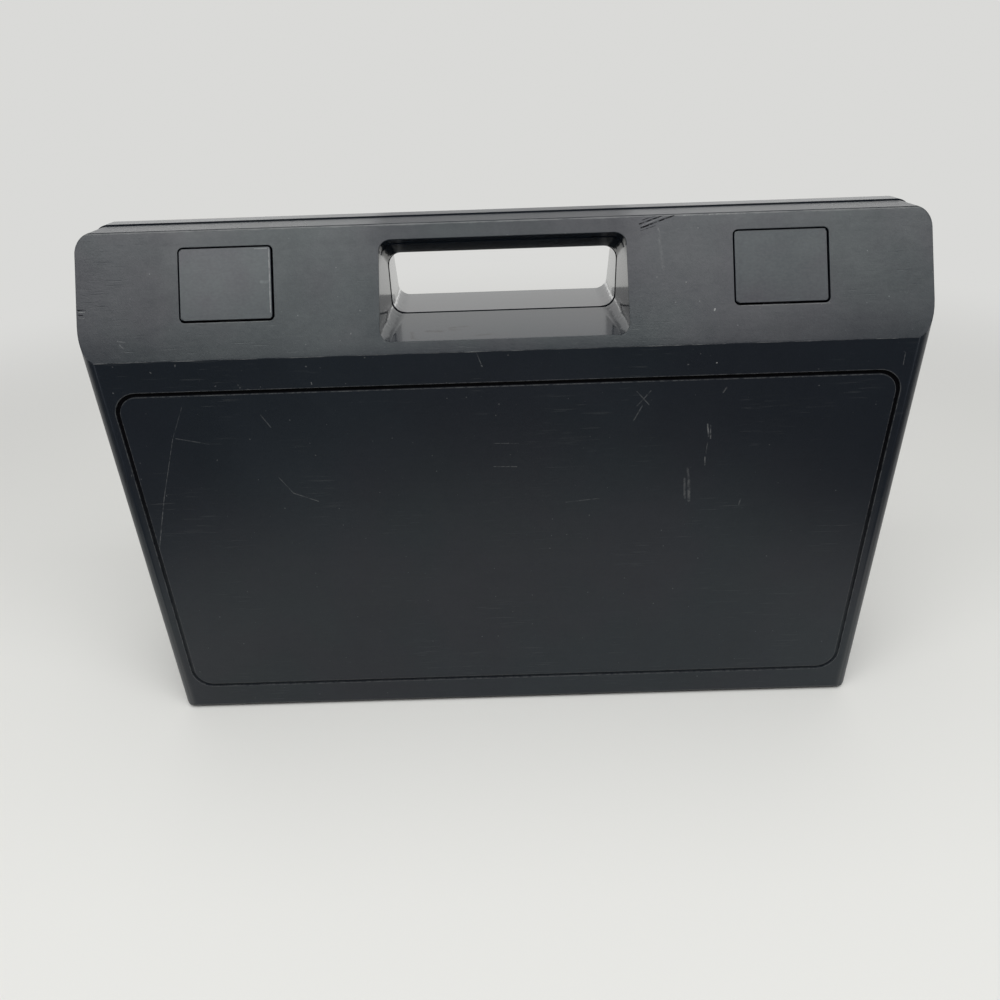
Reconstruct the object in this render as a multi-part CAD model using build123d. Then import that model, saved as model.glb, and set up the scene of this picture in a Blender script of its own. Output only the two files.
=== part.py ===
from build123d import *
import os
from math import atan2, cos, degrees, radians, sin, tan

# A hard plastic attache case for thirty boxed audio cassettes, in millimetres. It stands on its
# hinge edge: +X is its width, +Y points to its back and +Z up. The origin is the middle of the
# footprint, on the floor, and the parting plane between the two half shells is y = 0.

# ---- What the case is sized around: boxed cassettes, which stand in racks with a slot for each
BOX_WIDTH = 109.0
BOX_HEIGHT = 70.0
BOX_THICKNESS = 17.0
BOX_SIDE_PLAY = 1.3
BOX_SLOT_PLAY = 0.3
BOX_DEPTH_PLAY = 5.6      # between a box and the lid
SLOTS = 10
RACKS = 3
RACK_GAP = 6.2            # between neighbouring racks
RACK_SIDE_ROOM = 4.1      # from the outer racks to the shell
RACK_HEADROOM = 1.7       # from the racks to the level of the band's lower edge
RACK_ABOVE_CHANNEL = 0.9
RACK_STANDOFF = 4.0
RACK_BASE = 2.0
RACK_WALL = 1.6
RACK_WALL_HEIGHT = 22.0
FIN_THICKNESS = 1.4
FIN_BEHIND_SEAM = 1.5
FIN_NOTCH_WIDTH = 56.0
FIN_NOTCH_DEPTH = 24.0
FIN_NOTCH_SLOPE = 7.0     # how far each side of the notch leans
FIN_EAR_CHAMFER = 4.0

# ---- Half shells: near mirror images. The back one stands a little higher along the seam, its
# half of the handle well is a little tighter, and what is moulded inside them differs.
WALL = 2.5
SEAM_GAP = 0.7            # between the two rims
FOOT_HEIGHT = 1.5
BAND_BELOW_TOP = 49.3     # the slanted shoulder band, measured down from the top
TOP_HALF_DEPTH = 16.0     # top strip of one half
FRONT_TOP_RISE = 0.35     # of the top strip, from the band to the parting plane
BACK_TOP_RISE = 0.95
TOP_CORNER_RADIUS = 8.0
BOTTOM_CORNER_RADIUS = 4.5
FRONT_CORNER_RADIUS = 8.0
BOTTOM_EDGE_RADIUS = 2.5
BAND_TOP_EDGE_RADIUS = 2.0
BAND_LOW_EDGE_RADIUS = 0.8
RIM_CHAMFER = 0.35        # on the front shell

# ---- Grooved panel on each broad face
PANEL_SIDE_MARGIN = 10.95
PANEL_LOW = 15.6          # above the shell's bottom
PANEL_BELOW_BAND = 15.0
PANEL_CORNER_RADIUS = 10.0
GROOVE_WIDTH = 1.8
GROOVE_DEPTH = 1.1

# ---- Handle well through both shells: sizes at the parting plane, and its tapers
WELL_HALF_WIDTH = 52.75
WELL_SHELF_BELOW_TOP = 43.35
WELL_HEIGHT = 28.1
WELL_SIDE_DRAFT = 1.8     # degrees
WELL_SHELF_DRAFT = 1.9
WELL_ROOF_SLOPE = 24.6
WELL_STEP = 0.4           # the roof is this much higher next to the mouth
WELL_STEP_DEPTH = 6.5     # from the band to that step
WELL_SEAM_CORNER = 6.0
FRONT_MOUTH_CORNER = 4.4
BACK_MOUTH_CORNER = 5.8
BACK_WELL_MARGIN = 0.3    # the back half of the well is this much tighter all round
WELL_WALL = 2.2

# ---- Feet moulded under each half
FOOT_LENGTH = 34.0
FOOT_DEPTH = 11.0
FOOT_FROM_SIDE = 35.0     # from the case's side to the foot's middle
FOOT_SETBACK = 10.5       # from the broad face to the foot

# ---- Lip on the back shell's rim, which enters the front shell
LIP_THICKNESS = 1.3
LIP_CLEARANCE = 0.35
LIP_HEIGHT = 3.0
LIP_ROOT = 6.0
LIP_ABOVE_CHANNEL = 6.5

# ---- Hinge: moulded knuckles on steel pins, in a channel along the bottom
KNUCKLE_RADIUS = 3.5
HINGE_PIN_RADIUS = 1.5
PIN_HOLD_CLEARANCE = 0.02
PIN_RUN_CLEARANCE = 0.07
KNUCKLE_LENGTH = 16.0
KNUCKLE_GAP = 0.5
KNUCKLES_PER_HINGE = 3
HINGE_FROM_SIDE = 60.0    # from the case's side to the middle of the outer hinges
CHANNEL_HALF_WIDTH = 12.0
CHANNEL_CLEARANCE = 0.5
BORE_OVERRUN = 1.0        # of a bore's cutter past each end

# ---- Push-button latches in the shoulder band
LATCH_FROM_SIDE = 65.2    # from the case's side to the button's middle
LATCH_GAP = 0.9           # all round the button
BUTTON_WIDTH = 39.4
BUTTON_LENGTH = 30.7
BUTTON_LOW = 17.3         # up the band from its lower edge
BUTTON_THICKNESS = 2.4
BUTTON_CORNER_RADIUS = 1.4
PIVOT_BELOW_END = 6.0     # from the button's upper end down the band
PIVOT_DEPTH = 6.5
LATCH_PIN_RADIUS = 1.25
PIVOT_BOSS_RADIUS = 3.1
HOOK_WIDTH = 24.0
HOOK_THICKNESS = 2.6
HOOK_TOP_BELOW_LID = 4.8  # from the lid's inside top to the hook arm
HOOK_REACH = 8.6          # past the parting plane
BARB_THICKNESS = 2.6
BARB_DROP = 3.2
STRIKE_CLEARANCE = 0.3
LUG_THICKNESS = 4.0
LUG_GAP = 0.6
LUG_FROM_WINDOW = 0.6     # from the button's window to the lugs, at their free side
LUG_ROOT_MARGIN = 1.0     # from the window, and from the band's upper edge, at their root

# ---- Return springs: bent leaves of spring steel, measured up the band from the button's lower end
LEAF_THICKNESS = 0.5
LEAF_WIDTH = 9.0
LEAF_BEND_RADIUS = 1.6
LEAF_FOOT = -3.9
LEAF_BEND = 13.6
LEAF_TOUCH = 2.6          # where it bears on the button
LEAF_RETURN = 4.5         # from the foot to the arm at the bend
LEAF_TIP_GAP = 0.3
SEAT_DEPTH = 12.0
SEAT_WIDTH = 12.0
SEAT_FROM_WINDOW = 1.0

# ---- Keepers in the back shell's band
KEEPER_GAP = 0.3
KEEPER_FLANGE = 3.0
KEEPER_FLANGE_THICKNESS = 1.6
STRIKE_THICKNESS = 2.4
STRIKE_LIP_HEIGHT = 3.6

# ---- Snap posts that hold the racks on the back shell
CLIP_SPACING = 80.0
CLIP_ROWS = (1.5, 8.5)    # in slots from the bottom
CLIP_WIDTH = 8.0
CLIP_THICKNESS = 1.8
CLIP_BARB = 0.8
CLIP_CLEARANCE = 0.25
RIB_THICKNESS = 1.8
RIB_SPACING = 60.0

# ---- Levels and points worked out from the above
SLOT_PITCH = BOX_THICKNESS + BOX_SLOT_PLAY + FIN_THICKNESS
RACK_WIDTH = BOX_WIDTH + 2 * BOX_SIDE_PLAY + 2 * RACK_WALL
RACK_HEIGHT = SLOTS * SLOT_PITCH + FIN_THICKNESS
RACK_PITCH = RACK_WIDTH + RACK_GAP
CASE_WIDTH = RACKS * RACK_PITCH - RACK_GAP + 2 * (RACK_SIDE_ROOM + WALL)
HALF_DEPTH = WALL + (RACK_STANDOFF + RACK_BASE + BOX_HEIGHT + BOX_DEPTH_PLAY) / 2
HINGE_Z = KNUCKLE_RADIUS
CHANNEL_TOP = HINGE_Z + KNUCKLE_RADIUS + CHANNEL_CLEARANCE
RACK_LOW = CHANNEL_TOP + WALL + RACK_ABOVE_CHANNEL
BAND_LOW = RACK_LOW + RACK_HEIGHT + RACK_HEADROOM
BOTTOM = FOOT_HEIGHT
TOP = BAND_LOW + BAND_BELOW_TOP
BAND_RUN = HALF_DEPTH - TOP_HALF_DEPTH
BAND_ANGLE = degrees(atan2(BAND_RUN, BAND_BELOW_TOP))
BAND_UP = (sin(radians(BAND_ANGLE)), cos(radians(BAND_ANGLE)))      # (y, z) along the front band
BAND_IN = (cos(radians(BAND_ANGLE)), -sin(radians(BAND_ANGLE)))     # (y, z) into the case
BAND_OUT = (0, -BAND_IN[0], -BAND_IN[1])
BAND_PLANE = Plane(origin=(0, -HALF_DEPTH, BAND_LOW), x_dir=(1, 0, 0), z_dir=BAND_OUT)
BAND_AXIS = Axis((0, 0, 0), BAND_OUT)
RIM = SEAM_GAP / 2
INNER_BACK = HALF_DEPTH - WALL
RACK_BACK = INNER_BACK - RACK_STANDOFF
RACK_FLOOR = RACK_BACK - RACK_BASE
WELL_SHELF = TOP - WELL_SHELF_BELOW_TOP
HINGE_LENGTH = KNUCKLES_PER_HINGE * (KNUCKLE_LENGTH + KNUCKLE_GAP) - KNUCKLE_GAP
HINGE_SPACING = CASE_WIDTH / 2 - HINGE_FROM_SIDE
LATCH_CENTRE = CASE_WIDTH / 2 - LATCH_FROM_SIDE
SIDES = {"left": -1, "right": 1}


def band_point(up, depth):
    """(y, z) of a point on the front shell: so far up its band, and so deep behind it."""
    return (
        -HALF_DEPTH + up * BAND_UP[0] + depth * BAND_IN[0],
        BAND_LOW + up * BAND_UP[1] + depth * BAND_IN[1],
    )


PIVOT_UP_BAND = BUTTON_LOW + BUTTON_LENGTH - PIVOT_BELOW_END
PIVOT = band_point(PIVOT_UP_BAND, PIVOT_DEPTH)
HOOK_TOP = TOP - WALL - HOOK_TOP_BELOW_LID
BARB_LOW = HOOK_TOP - HOOK_THICKNESS - BARB_DROP
STRIKE_TOP = BARB_LOW - STRIKE_CLEARANCE
STRIKE_BACK = HOOK_REACH - BARB_THICKNESS - STRIKE_CLEARANCE


# ---- Small helpers
def along_x(outline, x_low, x_high):
    """Prism of a (y, z) outline between two x positions."""
    face = outline if isinstance(outline, Sketch) else Polygon(*outline, align=None)
    return extrude(Plane.YZ.offset(x_low) * face, x_high - x_low, dir=(1, 0, 0))


def along_y(sketch, y_low, y_high):
    """Prism of an (x, z) sketch between two y positions."""
    return extrude(Plane.XZ.offset(-y_low) * sketch, y_high - y_low, dir=(0, 1, 0))


def along_z(sketch, z_low, z_high):
    """Prism of an (x, y) sketch between two z positions."""
    return extrude(Plane.XY.offset(z_low) * sketch, z_high - z_low, dir=(0, 0, 1))


def block(x_range, y_range, z_range):
    """Box between pairs of limits."""
    low, high = zip(x_range, y_range, z_range)
    size = [b - a for a, b in zip(low, high)]
    return Pos(*low) * Box(*size, align=Align.MIN)


def rod(centre, radius, x_low, x_high):
    """Cylinder along X through a (y, z) centre."""
    return along_x(Sketch() + Pos(*centre) * Circle(radius), x_low, x_high)


def mirrored(part):
    """The same thing on the other half of the case."""
    return mirror(part, about=Plane.XZ)


# ---- Half shells
def profile(inset, rounded, rise=0):
    """(y, z) section of the front half, drawn past the parting plane; inset gives the inside."""
    half = HALF_DEPTH - inset
    slope = radians(BAND_ANGLE)
    low_corner = BAND_LOW - inset * tan(slope / 2)
    top_corner = -TOP_HALF_DEPTH + inset * tan((radians(90) - slope) / 2)
    channel = CHANNEL_HALF_WIDTH + inset
    outer_corners = {
        (-half, BOTTOM + inset): BOTTOM_EDGE_RADIUS,
        (-half, low_corner): BAND_LOW_EDGE_RADIUS,
        (top_corner, TOP - inset): BAND_TOP_EDGE_RADIUS,
    }
    points = [
        (HALF_DEPTH, CHANNEL_TOP + inset),
        (-channel, CHANNEL_TOP + inset),
        (-channel, BOTTOM + inset),
        *outer_corners,
        (HALF_DEPTH, TOP - inset + rise * (HALF_DEPTH - top_corner) / TOP_HALF_DEPTH),
    ]
    face = Sketch() + Polygon(*points, align=None)
    if rounded:
        for corner, radius in outer_corners.items():
            face = fillet(face.vertices().sort_by_distance(Vector(*corner))[0], radius)
    return face


def outline(inset, rise=0):
    """(x, z) front view of a shell."""
    top = TOP + rise
    face = Pos(0, (BOTTOM + top) / 2) * Rectangle(CASE_WIDTH - 2 * inset, top - BOTTOM - 2 * inset)
    face = fillet(face.vertices().group_by(Axis.Y)[-1], TOP_CORNER_RADIUS - inset)
    return fillet(face.vertices().group_by(Axis.Y)[0], max(BOTTOM_CORNER_RADIUS - inset, WALL / 4))


def plan(inset):
    """(x, y) section of the front half, drawn past the parting plane."""
    depth = 2 * (HALF_DEPTH - inset)
    face = Sketch() + Rectangle(CASE_WIDTH - 2 * inset, depth)
    return fillet(face.vertices().group_by(Axis.Y)[0], FRONT_CORNER_RADIUS - inset)


def half_solid(inset, rounded=False, rise=0):
    """Front half as a full body, up to the rim."""
    body = along_y(outline(inset, rise), -HALF_DEPTH, -RIM)
    body &= along_x(profile(inset, rounded, rise), -CASE_WIDTH / 2, CASE_WIDTH / 2)
    return body & along_z(plan(inset), 0, TOP + rise)


def well_levels(y):
    """Half width, shelf level and roof level of the front half's well at y."""
    half_width = WELL_HALF_WIDTH - y * tan(radians(WELL_SIDE_DRAFT))
    low = WELL_SHELF + y * tan(radians(WELL_SHELF_DRAFT))
    roof = WELL_SHELF + WELL_HEIGHT - y * tan(radians(WELL_ROOF_SLOPE))
    return half_width, low, roof


def well_wedge(wall, y_end):
    """Sharp-cornered tapered well from outside the broad face to y_end, grown by a wall."""
    y_start = -HALF_DEPTH - WALL
    wide_start, low_start, roof_start = well_levels(y_start)
    wide_end, low_end, roof_end = well_levels(y_end)
    side = [
        (y_start, low_start - wall),
        (y_end, low_end - wall),
        (y_end, roof_end + wall),
        (y_start, roof_start + wall),
    ]
    flat = [
        (-wide_start - wall, y_start),
        (wide_start + wall, y_start),
        (wide_end + wall, y_end),
        (-wide_end - wall, y_end),
    ]
    return along_x(side, -CASE_WIDTH / 2, CASE_WIDTH / 2) & along_z(Polygon(*flat, align=None), 0, 2 * TOP)


def well_corner(side, upper, y, mouth_corner, margin):
    """Face at y that rounds one corner of the well: the spandrel outside its arc."""
    half_width, low, roof = well_levels(y)
    radius = WELL_SEAM_CORNER - y / HALF_DEPTH * (mouth_corner - WELL_SEAM_CORNER)
    out = WELL_WALL / 2
    x, z, up = side * (half_width - margin), roof - margin if upper else low + margin, 1 if upper else -1
    arc_start, arc_end = (x, z - up * radius), (x - side * radius, z)
    middle = (x - side * radius * (1 - cos(radians(45))), z - up * radius * (1 - cos(radians(45))))
    border = ThreePointArc(arc_start, middle, arc_end) + Polyline(
        arc_end,
        (x - side * radius, z + up * out),
        (x + side * out, z + up * out),
        (x + side * out, z - up * radius),
        arc_start,
    )
    return (Plane.XZ.offset(-y) * make_face(border)).face()


def well(mouth_corner, margin):
    """Handle well with corners that change towards the parting plane, and a step in its roof."""
    hollow = well_wedge(-margin, 0)
    for side in SIDES.values():
        for upper in (False, True):
            ends = [well_corner(side, upper, y, mouth_corner, margin) for y in (-HALF_DEPTH - WALL, 0)]
            hollow -= loft(ends, ruled=True)
    mouth = extrude(BAND_PLANE * Pos(0, 0, -WELL_STEP_DEPTH) * Rectangle(CASE_WIDTH, 2 * TOP), WELL_STEP_DEPTH + WALL)
    return hollow + (Pos(0, 0, WELL_STEP) * hollow & mouth)


def well_tube():
    """The well's walls, still filled."""
    tube = well_wedge(WELL_WALL, -RIM)
    long_edges = tube.edges().filter_by(lambda e: abs((e % 0).Y) > 0.5).filter_by(lambda e: e.length > HALF_DEPTH - RIM)
    return fillet(long_edges, FRONT_MOUTH_CORNER + WELL_WALL)


def panel_groove():
    """The ring cut into the broad face."""
    low, high = BOTTOM + PANEL_LOW, BAND_LOW - PANEL_BELOW_BAND
    centre = Pos(0, (low + high) / 2)
    width, height = CASE_WIDTH - 2 * PANEL_SIDE_MARGIN, high - low
    half = GROOVE_WIDTH / 2
    outer = RectangleRounded(width + GROOVE_WIDTH, height + GROOVE_WIDTH, PANEL_CORNER_RADIUS + half)
    inner = RectangleRounded(width - GROOVE_WIDTH, height - GROOVE_WIDTH, PANEL_CORNER_RADIUS - half)
    return along_y(centre * (outer - inner), -HALF_DEPTH - GROOVE_DEPTH, -HALF_DEPTH + GROOVE_DEPTH)


def band_window(side, gap, depth_low, depth_high):
    """Prism through the band, the size of a button and a gap all round it."""
    centre = BUTTON_LOW + BUTTON_LENGTH / 2
    sketch = RectangleRounded(BUTTON_WIDTH + 2 * gap, BUTTON_LENGTH + 2 * gap, BUTTON_CORNER_RADIUS + gap)
    at = BAND_PLANE * Pos(side * LATCH_CENTRE, centre, -depth_high)
    return extrude(at * sketch, depth_high - depth_low)


def foot(side):
    """One moulded foot under the front half, sunk into the bottom wall."""
    x = side * (CASE_WIDTH / 2 - FOOT_FROM_SIDE)
    y = -HALF_DEPTH + FOOT_SETBACK
    pad = block((x - FOOT_LENGTH / 2, x + FOOT_LENGTH / 2), (y, y + FOOT_DEPTH), (0, BOTTOM + WALL / 2))
    return chamfer(pad.edges().filter_by(Axis.Z), FOOT_DEPTH / 4)


def half_shell(rise, rim_chamfer, mouth_corner, well_margin):
    """Moulded half, drawn as the front one, without the fittings that differ between the halves.

    rise lifts its top strip towards the seam, and well_margin tightens its half of the handle well.
    """
    shell = half_solid(0, rounded=True, rise=rise)
    if rim_chamfer:
        rim_edges = shell.faces().sort_by(Axis.Y)[-1].outer_wire().edges()
        upper = [e for e in rim_edges if e.center().Z > CHANNEL_TOP + LIP_ABOVE_CHANNEL]
        shell = chamfer(upper, rim_chamfer)
    shell -= half_solid(WALL)
    shell += well_tube() & half_solid(0)
    shell -= well(mouth_corner, well_margin)
    shell -= panel_groove()
    for side in SIDES.values():
        shell -= band_window(side, LATCH_GAP, -WALL, 2 * WALL)
        shell += foot(side)
    return shell


# ---- Hinge
def knuckles(front):
    """Knuckles of one shell, drawn for the front half: the front one has the even places."""
    web = [
        (-RIM, HINGE_Z),
        (-RIM, CHANNEL_TOP + WALL / 2),
        (-CHANNEL_HALF_WIDTH - WALL / 2, CHANNEL_TOP + WALL / 2),
        (-CHANNEL_HALF_WIDTH - WALL / 2, BOTTOM + WALL / 3),
        (-KNUCKLE_RADIUS / 2, HINGE_Z - KNUCKLE_RADIUS * cos(radians(30))),
    ]
    group = Part()
    for hinge in (-1, 0, 1):
        start = hinge * HINGE_SPACING - HINGE_LENGTH / 2
        for place in range(1 if front else 0, KNUCKLES_PER_HINGE, 2):
            x_low = start + place * (KNUCKLE_LENGTH + KNUCKLE_GAP)
            x_high = x_low + KNUCKLE_LENGTH
            group += along_x(web, x_low, x_high) + rod((0, HINGE_Z), KNUCKLE_RADIUS, x_low, x_high)
    return group


def hinge_bores(clearance):
    """Bores for all hinge pins."""
    radius = HINGE_PIN_RADIUS + clearance
    group = Part()
    for hinge in (-1, 0, 1):
        centre = hinge * HINGE_SPACING
        reach = HINGE_LENGTH / 2 + BORE_OVERRUN
        group += rod((0, HINGE_Z), radius, centre - reach, centre + reach)
    return group


def hinge_pin(place):
    """Steel pin as long as its knuckles."""
    centre = place * HINGE_SPACING
    return rod((0, HINGE_Z), HINGE_PIN_RADIUS, centre - HINGE_LENGTH / 2, centre + HINGE_LENGTH / 2)


# ---- Latches
def pivot_lugs(side):
    """Two lugs on the front shell that hold the latch pin behind the band."""
    window_end = BUTTON_LOW + BUTTON_LENGTH + LATCH_GAP
    lug = [
        band_point(window_end + LUG_FROM_WINDOW, WALL + LUG_GAP),
        band_point(window_end + LUG_ROOT_MARGIN, WALL / 2),
        band_point(BAND_BELOW_TOP / cos(radians(BAND_ANGLE)) - LUG_ROOT_MARGIN, WALL / 2),
        (PIVOT[0] + 5 * PIVOT_BOSS_RADIUS, TOP - WALL / 2),
        band_point(PIVOT_UP_BAND + 0.8 * PIVOT_BOSS_RADIUS, PIVOT_DEPTH + 0.6 * PIVOT_BOSS_RADIUS),
        band_point(PIVOT_UP_BAND - 0.6 * PIVOT_BOSS_RADIUS, PIVOT_DEPTH + 0.8 * PIVOT_BOSS_RADIUS),
        band_point(PIVOT_UP_BAND, PIVOT_DEPTH),
        band_point(PIVOT_UP_BAND + 0.6 * PIVOT_BOSS_RADIUS, PIVOT_DEPTH - 0.8 * PIVOT_BOSS_RADIUS),
    ]
    group = Part()
    for end in (-1, 1):
        inner = side * LATCH_CENTRE + end * (HOOK_WIDTH / 2 + LUG_GAP)
        x_low, x_high = sorted((inner, inner + end * LUG_THICKNESS))
        group += along_x(lug, x_low, x_high) + rod(PIVOT, PIVOT_BOSS_RADIUS, x_low, x_high)
    hold = LATCH_PIN_RADIUS + PIN_HOLD_CLEARANCE
    return group - rod(PIVOT, hold, side * LATCH_CENTRE - HOOK_WIDTH, side * LATCH_CENTRE + HOOK_WIDTH)


def latch_pin(side):
    """Steel pin through both lugs and the button's boss."""
    reach = HOOK_WIDTH / 2 + LUG_GAP + LUG_THICKNESS
    return rod(PIVOT, LATCH_PIN_RADIUS, side * LATCH_CENTRE - reach, side * LATCH_CENTRE + reach)


def spring_seat(side):
    """Moulded bracket below the window that the leaf spring's foot is set on."""
    low = BUTTON_LOW - LATCH_GAP - SEAT_FROM_WINDOW
    step, high = BUTTON_LOW + LEAF_FOOT - LEAF_THICKNESS / 4, BUTTON_LOW + LEAF_BEND
    bracket = [
        band_point(low - 5 * WALL / 2, WALL / 2),
        band_point(low, WALL / 2),
        band_point(low, SEAT_DEPTH - 2 * LEAF_THICKNESS),
        band_point(step, SEAT_DEPTH - 2 * LEAF_THICKNESS),
        band_point(step, SEAT_DEPTH),
        band_point(high, SEAT_DEPTH),
        band_point(high, SEAT_DEPTH + WALL),
        band_point(low - WALL, SEAT_DEPTH + WALL),
    ]
    return along_x(bracket, side * LATCH_CENTRE - SEAT_WIDTH / 2, side * LATCH_CENTRE + SEAT_WIDTH / 2)


def latch_spring(side):
    """Hairpin leaf: its foot lies on the seat and its arm leans on the button."""
    foot_depth = SEAT_DEPTH - LEAF_THICKNESS / 2
    arm_depth = BUTTON_THICKNESS + LEAF_THICKNESS / 2 + LEAF_TIP_GAP
    bend, touch = BUTTON_LOW + LEAF_BEND, BUTTON_LOW + LEAF_TOUCH
    line = FilletPolyline(
        band_point(BUTTON_LOW + LEAF_FOOT, foot_depth),
        band_point(bend, foot_depth),
        band_point(bend, foot_depth - LEAF_RETURN),
        band_point(touch, arm_depth),
        band_point(touch - LEAF_RETURN / 2, arm_depth + LEAF_RETURN / 4),
        radius=LEAF_BEND_RADIUS,
    )
    strip = trace(line, LEAF_THICKNESS)
    return along_x(strip, side * LATCH_CENTRE - LEAF_WIDTH / 2, side * LATCH_CENTRE + LEAF_WIDTH / 2)


def latch_button(side):
    """Button plate, pivot boss and hook arm in one moulding."""
    x_low, x_high = side * LATCH_CENTRE - HOOK_WIDTH / 2, side * LATCH_CENTRE + HOOK_WIDTH / 2
    button = band_window(side, 0, 0, BUTTON_THICKNESS)
    button = chamfer(button.faces().sort_by(BAND_AXIS)[-1].edges(), BUTTON_THICKNESS / 16)
    neck = [
        band_point(PIVOT_UP_BAND - PIVOT_BOSS_RADIUS, PIVOT_DEPTH),
        band_point(PIVOT_UP_BAND + PIVOT_BOSS_RADIUS, PIVOT_DEPTH),
        band_point(PIVOT_UP_BAND + PIVOT_BOSS_RADIUS, BUTTON_THICKNESS / 2),
        band_point(PIVOT_UP_BAND - PIVOT_BOSS_RADIUS, BUTTON_THICKNESS / 2),
    ]
    under = HOOK_TOP - HOOK_THICKNESS
    arm = [
        (PIVOT[0] - PIVOT_BOSS_RADIUS * cos(radians(45)), PIVOT[1] + PIVOT_BOSS_RADIUS * sin(radians(45))),
        (PIVOT[0] + PIVOT_BOSS_RADIUS, HOOK_TOP),
        (HOOK_REACH - HOOK_THICKNESS / 2, HOOK_TOP),
        (HOOK_REACH, HOOK_TOP - HOOK_THICKNESS / 2),
        (HOOK_REACH, BARB_LOW + BARB_DROP / 2),
        (HOOK_REACH - BARB_THICKNESS / 2, BARB_LOW),
        (HOOK_REACH - BARB_THICKNESS, BARB_LOW),
        (HOOK_REACH - BARB_THICKNESS, under),
        (PIVOT[0] + 2 * PIVOT_BOSS_RADIUS, under),
        (PIVOT[0] + PIVOT_BOSS_RADIUS * cos(radians(45)), PIVOT[1] - PIVOT_BOSS_RADIUS * sin(radians(45))),
    ]
    button += along_x(neck, x_low, x_high) + along_x(arm, x_low, x_high)
    button += rod(PIVOT, PIVOT_BOSS_RADIUS, x_low, x_high)
    bore = rod(PIVOT, LATCH_PIN_RADIUS + PIN_RUN_CLEARANCE, x_low - BORE_OVERRUN, x_high + BORE_OVERRUN)
    return button - bore


def keeper(side):
    """Plug in the back shell's band window, with the strike that the hook goes over."""
    flange_gap = KEEPER_FLANGE + LATCH_GAP
    plug = band_window(side, LATCH_GAP - KEEPER_GAP, 0, WALL)
    plug = chamfer(plug.faces().sort_by(BAND_AXIS)[-1].edges(), BUTTON_THICKNESS / 8)
    plug += band_window(side, flange_gap, WALL, WALL + KEEPER_FLANGE_THICKNESS)
    shelf_top = STRIKE_TOP - STRIKE_LIP_HEIGHT
    strike_front = STRIKE_BACK - STRIKE_THICKNESS
    root = (BAND_LOW - shelf_top) * tan(radians(BAND_ANGLE)) + HALF_DEPTH - WALL
    strike = [
        (-strike_front, shelf_top - STRIKE_THICKNESS),
        (-strike_front, STRIKE_TOP - STRIKE_THICKNESS / 2),
        (-strike_front - STRIKE_THICKNESS / 2, STRIKE_TOP),
        (-STRIKE_BACK, STRIKE_TOP),
        (-STRIKE_BACK, shelf_top),
        (-root - WALL / 4, shelf_top),
        (-root - WALL / 4, shelf_top - STRIKE_THICKNESS),
    ]
    x_low, x_high = side * LATCH_CENTRE - HOOK_WIDTH / 2, side * LATCH_CENTRE + HOOK_WIDTH / 2
    plug += along_x(strike, x_low, x_high)
    rib = [
        (-strike_front - 2 * STRIKE_THICKNESS, shelf_top - STRIKE_THICKNESS / 2),
        (-root, shelf_top - STRIKE_THICKNESS / 2),
        band_point(BUTTON_LOW + LATCH_GAP, WALL + KEEPER_FLANGE_THICKNESS / 2),
    ]
    for x in (x_low, x_high - STRIKE_THICKNESS):
        plug += along_x(rib, x, x + STRIKE_THICKNESS)
    return mirrored(plug)


# ---- Racks
def clip_places(x_centre):
    """(x, z) of the snap posts of a rack."""
    return [
        (x_centre + side * CLIP_SPACING / 2, RACK_LOW + FIN_THICKNESS / 2 + row * SLOT_PITCH)
        for side in SIDES.values()
        for row in CLIP_ROWS
    ]


def rack(x_centre):
    """Comb rack: a base, two low side walls and a notched fin under every slot."""
    half = RACK_WIDTH / 2
    height = (RACK_LOW, RACK_LOW + RACK_HEIGHT)
    comb = block((x_centre - half, x_centre + half), (RACK_FLOOR, RACK_BACK), height)
    for side in SIDES.values():
        x = sorted((x_centre + side * half, x_centre + side * (half - RACK_WALL)))
        comb += block(x, (RACK_FLOOR - RACK_WALL_HEIGHT, RACK_FLOOR), height)
    fin = fin_outline(x_centre)
    for place in range(SLOTS + 1):
        z = RACK_LOW + place * SLOT_PITCH
        comb += along_z(fin, z, z + FIN_THICKNESS)
    window_width = CLIP_WIDTH + 2 * CLIP_CLEARANCE
    window_height = CLIP_THICKNESS + CLIP_BARB + 2 * CLIP_CLEARANCE
    for x, z in clip_places(x_centre):
        low = z - CLIP_THICKNESS / 2 - CLIP_CLEARANCE
        comb -= block((x - window_width / 2, x + window_width / 2), (0, HALF_DEPTH), (low, low + window_height))
    return comb


def fin_outline(x_centre):
    """(x, y) outline of a fin: two chamfered ears and a notch between them for the fingers."""
    half, front = RACK_WIDTH / 2, FIN_BEHIND_SEAM
    right = [
        (FIN_NOTCH_WIDTH / 2 - FIN_NOTCH_SLOPE, front + FIN_NOTCH_DEPTH),
        (FIN_NOTCH_WIDTH / 2, front),
        (half - FIN_EAR_CHAMFER, front),
        (half, front + FIN_EAR_CHAMFER),
        (half, RACK_FLOOR),
    ]
    left = [(-x, y) for x, y in reversed(right)]
    return Pos(x_centre, 0) * (Sketch() + Polygon(*right, *left, align=None))


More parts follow.
